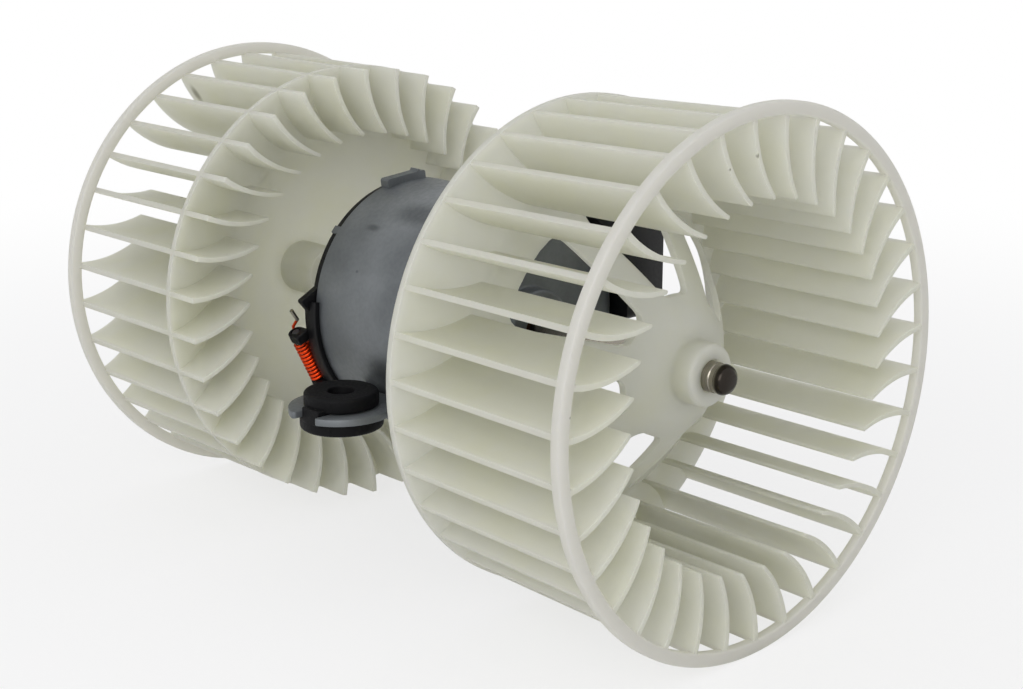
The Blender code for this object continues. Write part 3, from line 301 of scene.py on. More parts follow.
def faded(tree, value, low, high, first, second):
    """A colour that gives way to another while the value goes from low to high."""
    share = add(tree, "ShaderNodeMapRange", {"Value": value, "From Min": low, "From Max": high}, **SMOOTH)
    return add(tree, "ShaderNodeMix", {0: share, 6: first, 7: second}, 2, data_type="RGBA")


def shaded(tree, base, pattern, reach, low, high):
    """A base colour that a pattern makes darker and lighter."""
    tone = add(tree, "ShaderNodeMapRange", spread(pattern, reach, low, high), **SMOOTH)
    colours = {0: 1.0, 6: base, 7: tone}
    return add(tree, "ShaderNodeMix", colours, 2, data_type="RGBA", blend_type="MULTIPLY")


def marked(tree, place, tone, marks, mark_colour):
    """The tone with marks: each is full in the middle of an ellipsoid and fades towards its edge."""
    for where, turn, half_lengths in marks:
        inside = add(tree, "ShaderNodeMapping", {
            "Vector": place,
            "Location": [axis * MM for axis in where],
            "Rotation": [math.radians(axis) for axis in turn],
            "Scale": [axis * MM for axis in half_lengths],
        }, vector_type="TEXTURE")
        reach = add(tree, "ShaderNodeVectorMath", {0: inside}, "Value", operation="LENGTH")
        tone = faded(tree, reach, 1.0, 0.2, tone, mark_colour)
    return tone


def natural_nylon(colours):
    """Unfilled nylon from a polished mould: satin and milky, with light coming through its thin walls."""
    material, tree, shader, place = new_finish("natural_nylon")
    ring_start = 71 * MM
    through_share = 0.4
    cloud = add(tree, "ShaderNodeTexNoise", grains(place, 22.0))
    tone = faded(tree, cloud, 0.35, 0.7, colours.nylon, colours.nylon_deep)
    square = add(tree, "ShaderNodeVectorMath", {0: place, 1: (0.0, 1.0, 1.0)}, operation="MULTIPLY")
    from_axis = add(tree, "ShaderNodeVectorMath", {0: square}, "Value", operation="LENGTH")
    tone = faded(tree, from_axis, ring_start - MM, ring_start + MM, tone, colours.nylon_rim)
    patches = add(tree, "ShaderNodeTexNoise", grains(place, 6.0))
    ripple = add(tree, "ShaderNodeTexNoise", grains(place, 2.5, 2.0))
    fill(tree, shader, {
        "Base Color": marked(tree, place, tone, SCUFFS, colours.scuff),
        "Roughness": add(tree, "ShaderNodeMapRange", spread(patches, 0.2, 0.36, 0.5), **SMOOTH),
        "Normal": add(tree, "ShaderNodeBump", {"Height": ripple, "Strength": 0.3, "Distance": 0.03 * MM}),
        "IOR": 1.53,
        "Subsurface Weight": 1.0,
        "Subsurface Scale": 10.0 * MM,
        "Subsurface Radius": (1.0, 0.98, 0.88),
    })
    through = add(tree, "ShaderNodeBsdfTranslucent", {"Color": colours.nylon_deep})
    mix = add(tree, "ShaderNodeMixShader", {0: through_share, 1: shader.outputs[0], 2: through})
    fill(tree, tree.nodes["Material Output"], {"Surface": mix})
    return material


def zinc_plate(colours):
    """Deep-drawn steel with dull electroplated zinc: blue-grey, cloudy and half matt.

    The real zinc crystals are finer; they are drawn as coarse as they need to be to show.
    """
    material, tree, shader, place = new_finish("zinc_plated_steel")
    cloud = add(tree, "ShaderNodeTexNoise", grains(place, 26.0, 2.0))
    tone = faded(tree, cloud, 0.3, 0.75, colours.zinc, colours.zinc_dark)
    patches = add(tree, "ShaderNodeTexNoise", grains(place, 1.4))
    crystals = add(tree, "ShaderNodeTexNoise", grains(place, 0.6, 2.0))
    fill(tree, shader, {
        # The stains, and a patch of painted shade above the bracket's front bend, darken the zinc.
        "Base Color": marked(tree, place, tone, STAINS_AND_SHADE, colours.stain_and_shade),
        "Metallic": 0.65,
        "Roughness": add(tree, "ShaderNodeMapRange", spread(patches, 0.2, 0.42, 0.58), **SMOOTH),
        "Normal": add(tree, "ShaderNodeBump", {"Height": crystals, "Strength": 0.4, "Distance": 0.02 * MM}),
    })
    return material


def turned_metal(name, base, roughness, groove_millimetres, dark_end=None, oxide=None):
    """Metal with rings round its axis, left by lathe or grinding wheel, and dark oxide past some distance.

    The real rings are finer; they are drawn as coarse as they need to be to show.
    """
    material, tree, shader, place = new_finish(name)
    stretched = add(tree, "ShaderNodeMapping", {"Vector": place, "Scale": (1.0, 0.02, 0.02)})
    rings = add(tree, "ShaderNodeTexNoise", grains(stretched, groove_millimetres, 2.0))
    tone = shaded(tree, base, rings, 0.2, 0.82, 1.0)
    if dark_end:
        along = add(tree, "ShaderNodeSeparateXYZ", {"Vector": place}, "X")
        along = add(tree, "ShaderNodeMath", {0: along}, operation="ABSOLUTE")
        tone = faded(tree, along, dark_end - MM, dark_end, tone, oxide)
    fill(tree, shader, {
        "Base Color": tone,
        "Metallic": 1.0,
        "Roughness": roughness,
        "Normal": add(tree, "ShaderNodeBump", {"Height": rings, "Strength": 0.4, "Distance": 0.01 * MM}),
    })
    return material


def grained(name, base, grain_millimetres, depth_millimetres, roughness, metallic=0.0, specular=0.5):
    """A moulded, pressed or sintered surface whose grain shows as slight changes of tone and sheen.

    A grain that is too fine to show is drawn coarser than the real one.
    """
    material, tree, shader, place = new_finish(name)
    grain = add(tree, "ShaderNodeTexNoise", grains(place, grain_millimetres))
    depth = depth_millimetres * MM
    sheen = spread(grain, 0.25, roughness - 0.06, roughness + 0.08)
    fill(tree, shader, {
        "Base Color": shaded(tree, base, grain, 0.25, 0.75, 1.15),
        "Metallic": metallic,
        "Roughness": add(tree, "ShaderNodeMapRange", sheen, **SMOOTH),
        "Specular IOR Level": specular,
        "Normal": add(tree, "ShaderNodeBump", {"Height": grain, "Strength": 0.5, "Distance": depth}),
    })
    return material


def laminated_iron(colours):
    """Punched electrical sheet, stacked along the shaft: its edges show as fine lines.

    A wave texture at a scale of one repeats every pi / 10 units, so the lines are about 0.3 mm apart.
    """
    material, tree, shader, place = new_finish("laminated_iron")
    wave = {"Vector": place, "Scale": 1.0 / MM, "Distortion": 0.0}
    sheets = add(tree, "ShaderNodeTexWave", wave, "Fac", bands_direction="X")
    gaps = [channel * 0.45 for channel in colours.iron]
    lines = {0: sheets, 6: gaps, 7: colours.iron}
    fill(tree, shader, {
        "Base Color": add(tree, "ShaderNodeMix", lines, 2, data_type="RGBA"),
        "Metallic": 0.9,
        "Roughness": 0.5,
        "Normal": add(tree, "ShaderNodeBump", {"Height": sheets, "Strength": 0.5, "Distance": 0.05 * MM}),
    })
    return material


def make_finishes(colours):
    """One finish for each of the record's material slots."""
    ground_end = SHAFT_END_X - 2.2 * MM
    return {
        "fan_nylon": natural_nylon(colours),
        "zinc_steel": zinc_plate(colours),
        # Bright bar with fine rings, and dark where its ends were cut.
        "ground_steel": turned_metal("ground_steel", colours.steel, 0.24, 0.25, ground_end, colours.oxide),
        # Hardened strip and tinned wire: bright, with a slight drawn texture.
        "spring_steel": turned_metal("spring_steel", colours.steel, 0.3, 0.4),
        # Pressed powder full of oil: dull, warm and speckled.
        "sintered_bronze": grained("sintered_bronze", colours.bronze, 0.3, 0.03, 0.5, 0.85),
        # Smooth strip with a soft golden shine.
        "brass": grained("rolled_brass", colours.brass, 1.5, 0.005, 0.3, 1.0),
        # Lacquered wire: clear red over copper, glossy.
        "enamelled_copper": grained("enamelled_copper", colours.copper, 4.0, 0.004, 0.26, 0.85),
        # Bare metal with the brushes' polish round it.
        "bare_copper": turned_metal("turned_copper", colours.bare_copper, 0.3, 0.2),
        "laminated_iron": laminated_iron(colours),
        # Fired ceramic: matt dark grey with a fine grit.
        "ferrite": grained("pressed_ferrite", colours.ferrite, 0.5, 0.03, 0.62),
        # Pressed graphite: matt, with a faint grey sheen.
        "carbon": grained("brush_carbon", colours.carbon, 0.4, 0.02, 0.55),
        # Glass-filled moulding: near black, with the mould's slight texture.
        "black_moulding": grained("black_filled_nylon", colours.moulding, 0.9, 0.02, 0.42, specular=0.2),
        # Moulded rubber: deep black with little shine.
        "black_rubber": grained("nbr_rubber", colours.rubber, 0.8, 0.02, 0.62, specular=0.15),
        # Pressed paper fibre: matt brown.
        "washer_fibre": grained("vulcanised_fibre", colours.fibre, 0.7, 0.03, 0.65),
    }


finishes = {}


def around(turn, radius, x=0.0):
    """The point at this angle and radius about the shaft."""
    return Vector((x, radius * math.cos(turn), radius * math.sin(turn)))


def eased(corners, steps=4, closed=True):
    """An outline from (x, y, radius) corners, with each corner of some radius turned into an arc."""
    outline = []
    count = len(corners)
    for index, (x, y, radius) in enumerate(corners):
        here = Vector((x, y))
        at_end = not closed and index in (0, count - 1)
        if radius == 0.0 or at_end:
            outline.append(here)
            continue
        before = Vector(corners[index - 1][:2])
        after = Vector(corners[(index + 1) % count][:2])
        back = (before - here).normalized()
        ahead = (after - here).normalized()
        half = back.angle(ahead) / 2
        reach = radius / math.tan(half)
        centre = here + (back + ahead).normalized() * radius / math.sin(half)
        first = here + back * reach - centre
        last = here + ahead * reach - centre
        start = math.atan2(first.y, first.x)
        turn = (math.atan2(last.y, last.x) - start + math.pi) % FULL_TURN - math.pi
        for step in range(steps + 1):
            bearing = start + turn * step / steps
            outline.append(centre + radius * Vector((math.cos(bearing), math.sin(bearing))))
    return outline


def rectangle(low, high, ease=0.0, steps=4):
    """A rectangle between two (x, y) corners, its corners eased by one radius."""
    corners = (low, (low[0], high[1]), high, (high[0], low[1]))
    return eased([(*corner, ease) for corner in corners], steps)


def symmetric(end):
    """The open outline of a rod, from the corners of its right end; the left end is the same."""
    return eased(end + [(-x, radius, ease) for x, radius, ease in end[::-1]], steps=3, closed=False)


def add_turned(shape, outline, segments, closed=True, start=0.0, sweep=FULL_TURN):
    """Turns an outline of (x, radius) points about X; what stays open gets a flat face at each end."""
    whole = sweep == FULL_TURN
    rings = []
    for step in range(segments if whole else segments + 1):
        turn = start + sweep * step / segments
        rings.append([shape.verts.new(around(turn, radius, x)) for x, radius in outline])
    pairs = [(index, index + 1) for index in range(len(outline) - 1)]
    if closed:
        pairs.append((len(outline) - 1, 0))
    for one, other in zip(rings, rings[1:] + (rings[:1] if whole else [])):
        for index, after in pairs:
            shape.faces.new((one[index], one[after], other[after], other[index]))
    if not closed:
        shape.faces.new([ring[0] for ring in rings])
        shape.faces.new([ring[-1] for ring in rings])
    if not whole:
        shape.faces.new(rings[0])
        shape.faces.new(rings[-1])
    return shape


def close_between(shape, first, last):
    """Joins two rings of vertices by a wall and closes both."""
    count = len(first)
    for index in range(count):
        after = (index + 1) % count
        shape.faces.new((first[index], first[after], last[after], last[index]))
    shape.faces.new(first)
    shape.faces.new(last)


def add_prism(shape, outline, axis, near, far):
    """Draws a closed outline out along an axis, 0 to 2, from one place on it to another."""
    ends = []
    for place in (near, far):
        ends.append([shape.verts.new((*point[:axis], place, *point[axis:])) for point in outline])
    close_between(shape, *ends)
    return shape


def add_box(shape, low, high):
    """A block between two corners."""
    return add_prism(shape, rectangle(low[1:], high[1:]), 0, low[0], high[0])


def moved(shape, matrix):
    """The shape, moved by the matrix."""
    bmesh.ops.transform(shape, matrix=matrix, verts=shape.verts)
    return shape


def add_copy(shape, other, matrix):
    """Adds another bmesh to this one, moved by the matrix, and frees it."""
    mesh = bpy.data.meshes.new("copy")
    moved(other, matrix).to_mesh(mesh)
    other.free()
    shape.from_mesh(mesh)
    bpy.data.meshes.remove(mesh)


def soften(shape, width, steps=2):
    """Rounds the shape's sharp edges."""
    bmesh.ops.recalc_face_normals(shape, faces=shape.faces)
    sharp = [edge for edge in shape.edges if edge.calc_face_angle(0.0) > math.radians(40)]
    bmesh.ops.bevel(
        shape, geom=sharp, offset=width, segments=steps, profile=0.5, affect="EDGES", clamp_overlap=True
    )
    return shape


def placed(name, data):
    """A new object in the scene that shows this data."""
    made = bpy.data.objects.new(name, data)
    bpy.context.scene.collection.objects.link(made)
    return made


def to_object(name, shape):
    """Turns a bmesh into an object in the scene, with its faces out."""
    bmesh.ops.recalc_face_normals(shape, faces=shape.faces)
    mesh = bpy.data.meshes.new(name)
    shape.to_mesh(mesh)
    shape.free()
    return placed(name, mesh)


def shown_mesh(piece):
    """A new mesh of the piece as its modifiers or its curve settings show it."""
    bpy.context.view_layer.update()
    return bpy.data.meshes.new_from_object(piece.evaluated_get(bpy.context.evaluated_depsgraph_get()))


def combine(base, operation, *shapes):
    """Adds the shapes to the base or cuts them from it with exact Booleans."""
    tools = [to_object(f"{base.name}_tool", shape) for shape in shapes]
    for tool in tools:
        boolean = base.modifiers.new(tool.name, "BOOLEAN")
        boolean.operation = operation
        boolean.solver = "EXACT"
        boolean.object = tool
    mesh = shown_mesh(base)
    base.modifiers.clear()
    base.data = mesh
    for tool in tools:
        bpy.data.objects.remove(tool)


def dress(piece, slot, body, replaced=(), smooth=30.0):
    """Shades the piece, gives it its finish, ties it to its body and hides the nodes that it stands for."""
    piece.data.materials.clear()
    piece.data.materials.append(finishes[slot])
    piece.data.shade_smooth()
    piece.data.set_sharp_from_angle(angle=math.radians(smooth))
    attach(piece, body)
    if replaced:
        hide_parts(*replaced)


def bell_points(fans, plate, steps):
    """The bell's (depth, radius) points from boss to neck on its ring side."""
    start = fans.boss_depth + fans.boss_nose
    neck = plate - fans.neck_drop
    points = []
    for step in range(steps + 1):
        share = step / steps
        radius = fans.boss_radius + (fans.neck_radius - fans.boss_radius) * share
        points.append(Vector((start + (neck - start) * share**fans.bell_curve, radius)))
    return points


def hub_outline(fans, motor, plate):
    """Hub, bell and back plate as one closed outline of (depth, radius) points."""
    bore = motor.shaft_radius + SEAT_GAP
    front = bell_points(fans, plate, 24)
    neck = front[-1]
    rim = Vector((plate, fans.plate_radius))
    coming = (neck - front[-2]).normalized()
    leaving = (rim - neck).normalized()
    outer = front[1:-1]
    for step in range(5):
        share = step / 4
        start = neck - fans.neck_fillet * coming * (1 - share) ** 2
        outer.append(start.lerp(neck + fans.neck_fillet * leaving, share**2))
    outer.append(rim)
    inner = []
    for index, point in enumerate(outer):
        before = outer[index - 1] if index else front[0]
        after = outer[min(index + 1, len(outer) - 1)]
        along = ((point - before).normalized() + (after - point).normalized()).normalized()
        inner.append(point + fans.bell_wall * Vector((along.y, -along.x)))
    inner[-1] = rim + Vector((fans.plate_wall, 0.0))
    sleeve = fans.boss_depth + fans.boss_sleeve
    nose = eased([
        (fans.boss_depth, bore, 0.3 * MM),
        (fans.boss_depth, fans.boss_radius, 1.2 * MM),
        (*front[0], 1.5 * MM),
        (*front[3], 0.0),
    ], steps=5, closed=False)
    back = [(inner[0].x, fans.boss_radius), (sleeve, fans.boss_radius), (sleeve, bore)]
    return nose[:-1] + outer[2:] + inner[:0:-1] + [Vector(point) for point in back]


def blade_outline(fans, outer_edge, steps=12):
    """One blade across its length: an arc that leaves the ring radially and ends in a round tip."""
    centre = math.hypot(fans.blade_root, fans.blade_bend)
    squares = centre**2 + fans.blade_bend**2 - fans.blade_inner**2
    full = math.atan2(fans.blade_root, fans.blade_bend)
    full -= math.acos(squares / (2 * centre * fans.blade_bend))
    front, back = [], []
    tip_turn = fans.tip_wall / 2 / fans.blade_bend
    for step in range(steps + 1):
        share = step / steps
        turn = (full - tip_turn) * share
        half = (fans.blade_wall + (fans.tip_wall - fans.blade_wall) * share) / 2
        for side, offset in ((front, half), (back, -half)):
            bend = fans.blade_bend + offset
            radial = fans.blade_root - bend * math.sin(turn) if step else outer_edge
            side.append(Vector((radial, bend * math.cos(turn) - fans.blade_bend)))
    middle = (front[-1] + back[-1]) / 2
    across = front[-1] - middle
    out = Vector((-math.cos(full), -math.sin(full))) * across.length
    turns = [math.pi * step / 6 for step in range(1, 6)]
    tip = [middle + across * math.cos(turn) + out * math.sin(turn) for turn in turns]
    return front + tip + back[::-1]


def plate_middle(fans, plate, radius):
    """Depth of the middle of the back plate's wall at this radius."""
    slope = fans.neck_drop / (fans.plate_radius - fans.neck_radius)
    return plate - slope * (fans.plate_radius - radius) + fans.plate_wall / 2


def fan_blades(fans, side, plate, start, overhang):
    """All blades of a wheel, from inside its ring to its back plate or past it."""
    shape = bmesh.new()
    sunk = 0.7 * MM
    at_ring = blade_outline(fans, RING_RADIUS - fans.ring_wall + sunk)
    at_plate = blade_outline(fans, fans.plate_radius - SEAT_GAP)
    for index in range(fans.blades):
        turn = Matrix.Rotation(start + FULL_TURN * index / fans.blades, 4, "X")
        first, last = [], []
        for near, far in zip(at_ring, at_plate):
            depth = plate + overhang if overhang else plate_middle(fans, plate, far.length)
            first.append(shape.verts.new(turn @ Vector((side * (FAN_FACE - SEAT_GAP), *near))))
            last.append(shape.verts.new(turn @ Vector((side * (FAN_FACE - depth), *far))))
        close_between(shape, first, last)
    return shape


def hub_windows(fans, side, plate, start):
    """Cutters for the openings between the spokes, with round corners."""
    shape = bmesh.new()
    pitch = FULL_TURN / fans.spokes
    near = side * (FAN_FACE - fans.boss_depth - fans.boss_nose)
    far = side * (FAN_FACE - plate - fans.plate_wall)
    for index in range(fans.spokes):
        corners = []
        spoke = start + pitch * index
        for radius, order in ((fans.window_inner, 1), (fans.window_outer, -1)):
            edge = math.asin(fans.spoke_width / 2 / radius)
            # The points beside a corner are left out, so that it has room to be rounded.
            turns = [spoke + edge + (pitch - 2 * edge) * step / 8 for step in (0, 2, 3, 4, 5, 6, 8)]
            for turn in turns[::order]:
                at_corner = turn in (turns[0], turns[-1])
                corners.append((*around(turn, radius)[1:], fans.window_corner if at_corner else 0.0))
        add_prism(shape, eased(corners, steps=5), 0, near, far)
    return shape


def fan_wheel(fans, motor, name, side, plate, blade_start, spoke_start, overhang):
    """A fan wheel, as one moulding: hub, bell, back plate, ring and blades."""
    shape = bmesh.new()
    ring = rectangle((0.0, RING_RADIUS - fans.ring_wall), (fans.ring_width, RING_RADIUS), fans.ring_edge)
    for outline, segments in ((hub_outline(fans, motor, plate), 140), (ring, 280)):
        add_turned(shape, [(side * (FAN_FACE - depth), radius) for depth, radius in outline], segments)
    wheel = to_object(name, shape)
    combine(wheel, "UNION", fan_blades(fans, side, plate, blade_start, overhang))
    if spoke_start is not None:
        combine(wheel, "DIFFERENCE", hub_windows(fans, side, plate, spoke_start))
    return wheel


class BLOWER_OT_finishes(bpy.types.Operator):
    """Make the finishes and give them to the nodes whose shape stays"""

    bl_idname = "blower.finishes"
    bl_label = "Finishes"

    def execute(self, context):
        finishes.update(make_finishes(context.scene.blower_colours))
        for part in frame["record"]["subparts"]:
            node = frame["nodes"][part["node"]]
            node.data.materials.clear()
            node.data.materials.append(finishes[part["material_slot"]])
        return {"FINISHED"}


class BLOWER_OT_fans(bpy.types.Operator):
    """Mould the two fan wheels"""

    bl_idname = "blower.fans"
    bl_label = "Fan wheels"

    def execute(self, context):
        fans = context.scene.blower_fans
        motor = context.scene.blower_motor
        wheels = (
            ("right", 1, fans.right_plate, fans.right_blade, fans.right_spoke, 0.0),
            ("left", -1, fans.left_plate, fans.left_blade, None, fans.left_overhang),
        )
        for name, *rest in wheels:
            wheel = fan_wheel(fans, motor, name + "_fan_wheel", *rest)
            dress(wheel, "fan_nylon", "rotor", ["fan_" + name])
        return {"FINISHED"}


class BLOWER_OT_shaft(bpy.types.Operator):
    """Grind the shaft, with rounded ends and a groove just inside each hub's face"""

    bl_idname = "blower.shaft"
    bl_label = "Shaft"

    def execute(self, context):
        motor = context.scene.blower_motor
        radius = motor.shaft_radius
        bottom = radius - motor.shaft_groove
        half = motor.shaft_length / 2
        step = motor.shaft_ease
        groove = FAN_FACE - context.scene.blower_fans.boss_depth + 2.0 * MM
        outline = symmetric([
            (half, 0.6 * MM, 0.0),
            (half - 0.2 * step, radius - 2.4 * step, 1.5 * MM),
            (half - 1.4 * step, radius - 0.6 * step, 1.5 * MM),
            (half - 3 * step, radius, 1.5 * MM),
            (groove + 2.0 * MM, radius, 0.2 * MM),
            (groove + 1.6 * MM, bottom, 0.1 * MM),
            (groove + 0.3 * MM, bottom, 0.1 * MM),
            (groove, radius, 0.1 * MM),
        ])
        shape = add_turned(bmesh.new(), outline, 72, closed=False)
        dress(to_object("ground_shaft", shape), "ground_steel", "rotor", ["shaft"])
        return {"FINISHED"}


def rim_tab(motor):
    """The tab turned up on the can's rim, with a nib of sheared metal near one end."""
    low = motor.can_radius - motor.can_wall / 2
    high = motor.can_radius + motor.tab_height
    half = motor.tab_width / 2
    nib = -half + 2.0 * MM
    outline = eased([
        (low, -half, 0.0),
        (high, -half, 0.8 * MM),
        (high, nib, 0.0),
        (high + motor.tab_nib, nib + 0.5 * MM, 0.2 * MM),
        (high, nib + 1.2 * MM, 0.0),
        (high, half, 0.8 * MM),
        (low, half, 0.0),
    ])
    shape = add_prism(bmesh.new(), outline, 0, CARD_INNER_X, motor.can_mouth + motor.tab_length)
    return moved(shape, Matrix.Rotation(motor.tab_angle, 4, "X"))


def rim_lug(motor):
    """A narrow lug of the can's sheet, left standing past the rim to crimp the end plate."""
    half = motor.lug_width / 2
    low = (motor.can_mouth - motor.lug_length, motor.can_radius - motor.can_wall + 0.2 * MM, -half)
    high = (motor.can_mouth + MM, motor.can_radius - 0.1 * MM, half)
    shape = soften(add_box(bmesh.new(), low, high), 0.25 * MM)
    return moved(shape, Matrix.Rotation(motor.lug_angle, 4, "X"))


class BLOWER_OT_can(bpy.types.Operator):
    """Draw the motor can, with its rim tab and crimp lug, and press the end plate"""

    bl_idname = "blower.can"
    bl_label = "Can and end plate"

    def execute(self, context):
        motor = context.scene.blower_motor
        wall = motor.can_wall
        radius = motor.can_radius
        end = motor.can_end
        boss_end = end + motor.boss_length
        seat = motor.bearing_radius + SEAT_GAP
        bend = motor.can_shoulder
        outline = eased([
            (boss_end, motor.boss_hole, 0.3 * MM),
            (boss_end, motor.boss_radius, 1.4 * MM),
            (end, motor.boss_radius, 1.0 * MM),
            (end, radius, bend),
            (motor.can_mouth, radius, 0.5 * MM),
            (motor.can_mouth, radius - wall, 0.2 * MM),
            (end - wall, radius - wall, bend - wall),
            (end - wall, seat, 0.4 * MM),
            (boss_end - wall, seat, 0.3 * MM),
            (boss_end - wall, motor.boss_hole, 0.2 * MM),
        ], steps=6)
        can = to_object("drawn_can", add_turned(bmesh.new(), outline, 128))
        combine(can, "UNION", rim_tab(motor), rim_lug(motor))
        dress(can, "zinc_steel", "motor", ["motor_can"])
        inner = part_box("end_plate")[1].x
        outer = inner - motor.plate_wall
        boss_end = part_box("end_plate")[0].x
        outline = eased([
            (inner, seat, 0.3 * MM),
            (inner, motor.end_plate, 0.3 * MM),
            (outer, motor.end_plate, 0.5 * MM),
            (outer, motor.boss_radius, 1.0 * MM),
            (boss_end, motor.boss_radius, 1.4 * MM),
            (boss_end, motor.boss_hole, 0.3 * MM),
            (boss_end + motor.plate_wall, motor.boss_hole, 0.2 * MM),
            (boss_end + motor.plate_wall, seat, 0.3 * MM),
        ], steps=5)
        plate = to_object("pressed_end_plate", add_turned(bmesh.new(), outline, 128))
        dress(plate, "zinc_steel", "motor", ["end_plate"])
        return {"FINISHED"}


def choke_seat(motor, side_turn):
    """Where a choke's middle lies beside the brush card, with its X along the choke."""
    bearing = motor.choke_angle + side_turn
    outside = motor.coil_radius + motor.coil_wire / 2
    middle = around(bearing, motor.coil_place, CARD_OUTER_X - SEAT_GAP - outside)
    out = around(bearing + motor.choke_tilt, 1.0)
    along = around(bearing + motor.choke_tilt + math.pi / 2, 1.0)
    turned_to = Matrix((along, out, along.cross(out))).transposed()
    return Matrix.Translation(middle) @ turned_to.to_4x4()


def coil_length(motor):
    """A choke coil from its first turn to its last."""
    return motor.coil_turns * (motor.coil_wire + SEAT_GAP)


def card_ear(motor, middle):
    """The card's ear beside a choke: a pointed tip above it, then a rounded edge along it."""
    root = motor.card_radius - motor.card_web
    edge = motor.can_radius + motor.card_edge
    corners = [
        (motor.root_turn, root, 0.0),
        (motor.root_turn, motor.card_radius, 0.5),
        (motor.tip_turn, motor.can_radius + motor.card_tip, 0.7),
        (motor.neck_turn, edge, 1.0),
    ]
    steps = 12
    span = (motor.end_turn - motor.neck_turn) / steps
    corners += [(motor.neck_turn + span * step, edge, 0.0) for step in range(1, steps)]
    corners += [(motor.end_turn, edge, 0.8), (motor.end_turn, root, 0.0)]
    outline = eased([(*around(middle + turn, radius)[1:], ease * MM) for turn, radius, ease in corners])
    return soften(add_prism(bmesh.new(), outline, 0, CARD_OUTER_X, CARD_INNER_X), 0.3 * MM)


def card_skirt(motor, middle):
    """The rim on a card ear that hooks over the edge of the can."""
    low = CARD_INNER_X - 0.5 * MM
    high = motor.can_mouth + motor.card_skirt
    near = motor.can_radius + SEAT_GAP
    far = motor.can_radius + motor.card_edge
    outline = eased([(low, near, 0.0), (low, far, 0.0), (high, far, 0.6 * MM), (high, near, 0.2 * MM)])
    start = middle + motor.tip_turn
    return add_turned(bmesh.new(), outline, 36, start=start, sweep=motor.end_turn - motor.tip_turn)


def card_prongs(motor, seat):
    """Two rounded prongs that hold the ends of a choke's rod."""
    outside = motor.coil_radius + motor.coil_wire / 2
    root = -outside - SEAT_GAP - MM
    section = [(-outside, root), (outside, root)]
    section += [tuple(around(math.pi * step / 16, outside)[1:]) for step in range(17)]
    near = coil_length(motor) / 2 + SEAT_GAP
    shape = bmesh.new()
    for low in (near, -near - motor.prong):
        prong = add_prism(bmesh.new(), section, 0, low, low + motor.prong)
        add_copy(shape, soften(prong, 0.45 * MM, 3), seat)
    return shape


class BLOWER_OT_brush_card(bpy.types.Operator):
    """Mould the brush card, with its ears, skirts and prongs"""

    bl_idname = "blower.brush_card"
    bl_label = "Brush card"

    def execute(self, context):
        motor = context.scene.blower_motor
        low = (CARD_OUTER_X, motor.card_hole)
        outline = rectangle(low, (CARD_INNER_X, motor.card_radius), 0.3 * MM, 3)
        card = to_object("moulded_brush_card", add_turned(bmesh.new(), outline, 128))
        holders = []
        holes = bmesh.new()
        rod = coil_length(motor) / 2 + SEAT_GAP + motor.prong + MM
        bore = motor.coil_radius - motor.coil_wire / 2
        for _, side_turn in CHOKES:
            seat = choke_seat(motor, side_turn)
            middle = motor.choke_angle + side_turn
            holders += [card_ear(motor, middle), card_skirt(motor, middle), card_prongs(motor, seat)]
            add_copy(holes, add_turned(bmesh.new(), [(-rod, bore), (rod, bore)], 32, closed=False), seat)
        combine(card, "UNION", *holders)
        combine(card, "DIFFERENCE", holes)
        dress(card, "black_moulding", "motor", ["brush_card"])
        return {"FINISHED"}


def wire(name, points, radius):
    """A round wire through the points, as an object with a closed mesh."""
    curve = bpy.data.curves.new(name, "CURVE")
    curve.dimensions = "3D"
    curve.bevel_depth = radius
    curve.bevel_resolution = 3
    curve.use_fill_caps = True
    spline = curve.splines.new("POLY")
    spline.points.add(len(points) - 1)
    for point, place in zip(spline.points, points):
        point.co = (*place, 1.0)
    guide = placed(name + "_guide", curve)
    mesh = shown_mesh(guide)
    bpy.data.objects.remove(guide)
    return placed(name, mesh)


def lead_points(motor):
    """A choke's lead in the choke's frame: from beyond the rod's end past the prong, and its tinned end."""
    start = -coil_length(motor) / 2
    side = motor.coil_radius + motor.coil_wire
    prong = start - SEAT_GAP - motor.prong
    enamelled = (
        (prong - 3.0 * MM, -2.2 * MM, -0.3 * MM),
        (prong - 0.3 * MM, -1.4 * MM, side - 0.4 * MM),
        (start - 1.6 * MM, -1.0 * MM, side),
        (start - 0.5 * MM, -0.2 * MM, motor.coil_radius + 0.4 * MM),
    )
    near = Vector((prong - 2.9 * MM, -2.2 * MM, -0.3 * MM))
    far = Vector((prong - 7.0 * MM, -1.6 * MM, -0.6 * MM))
    return [Vector(point) for point in enamelled], [near.lerp(far, step / 4) for step in range(5)]


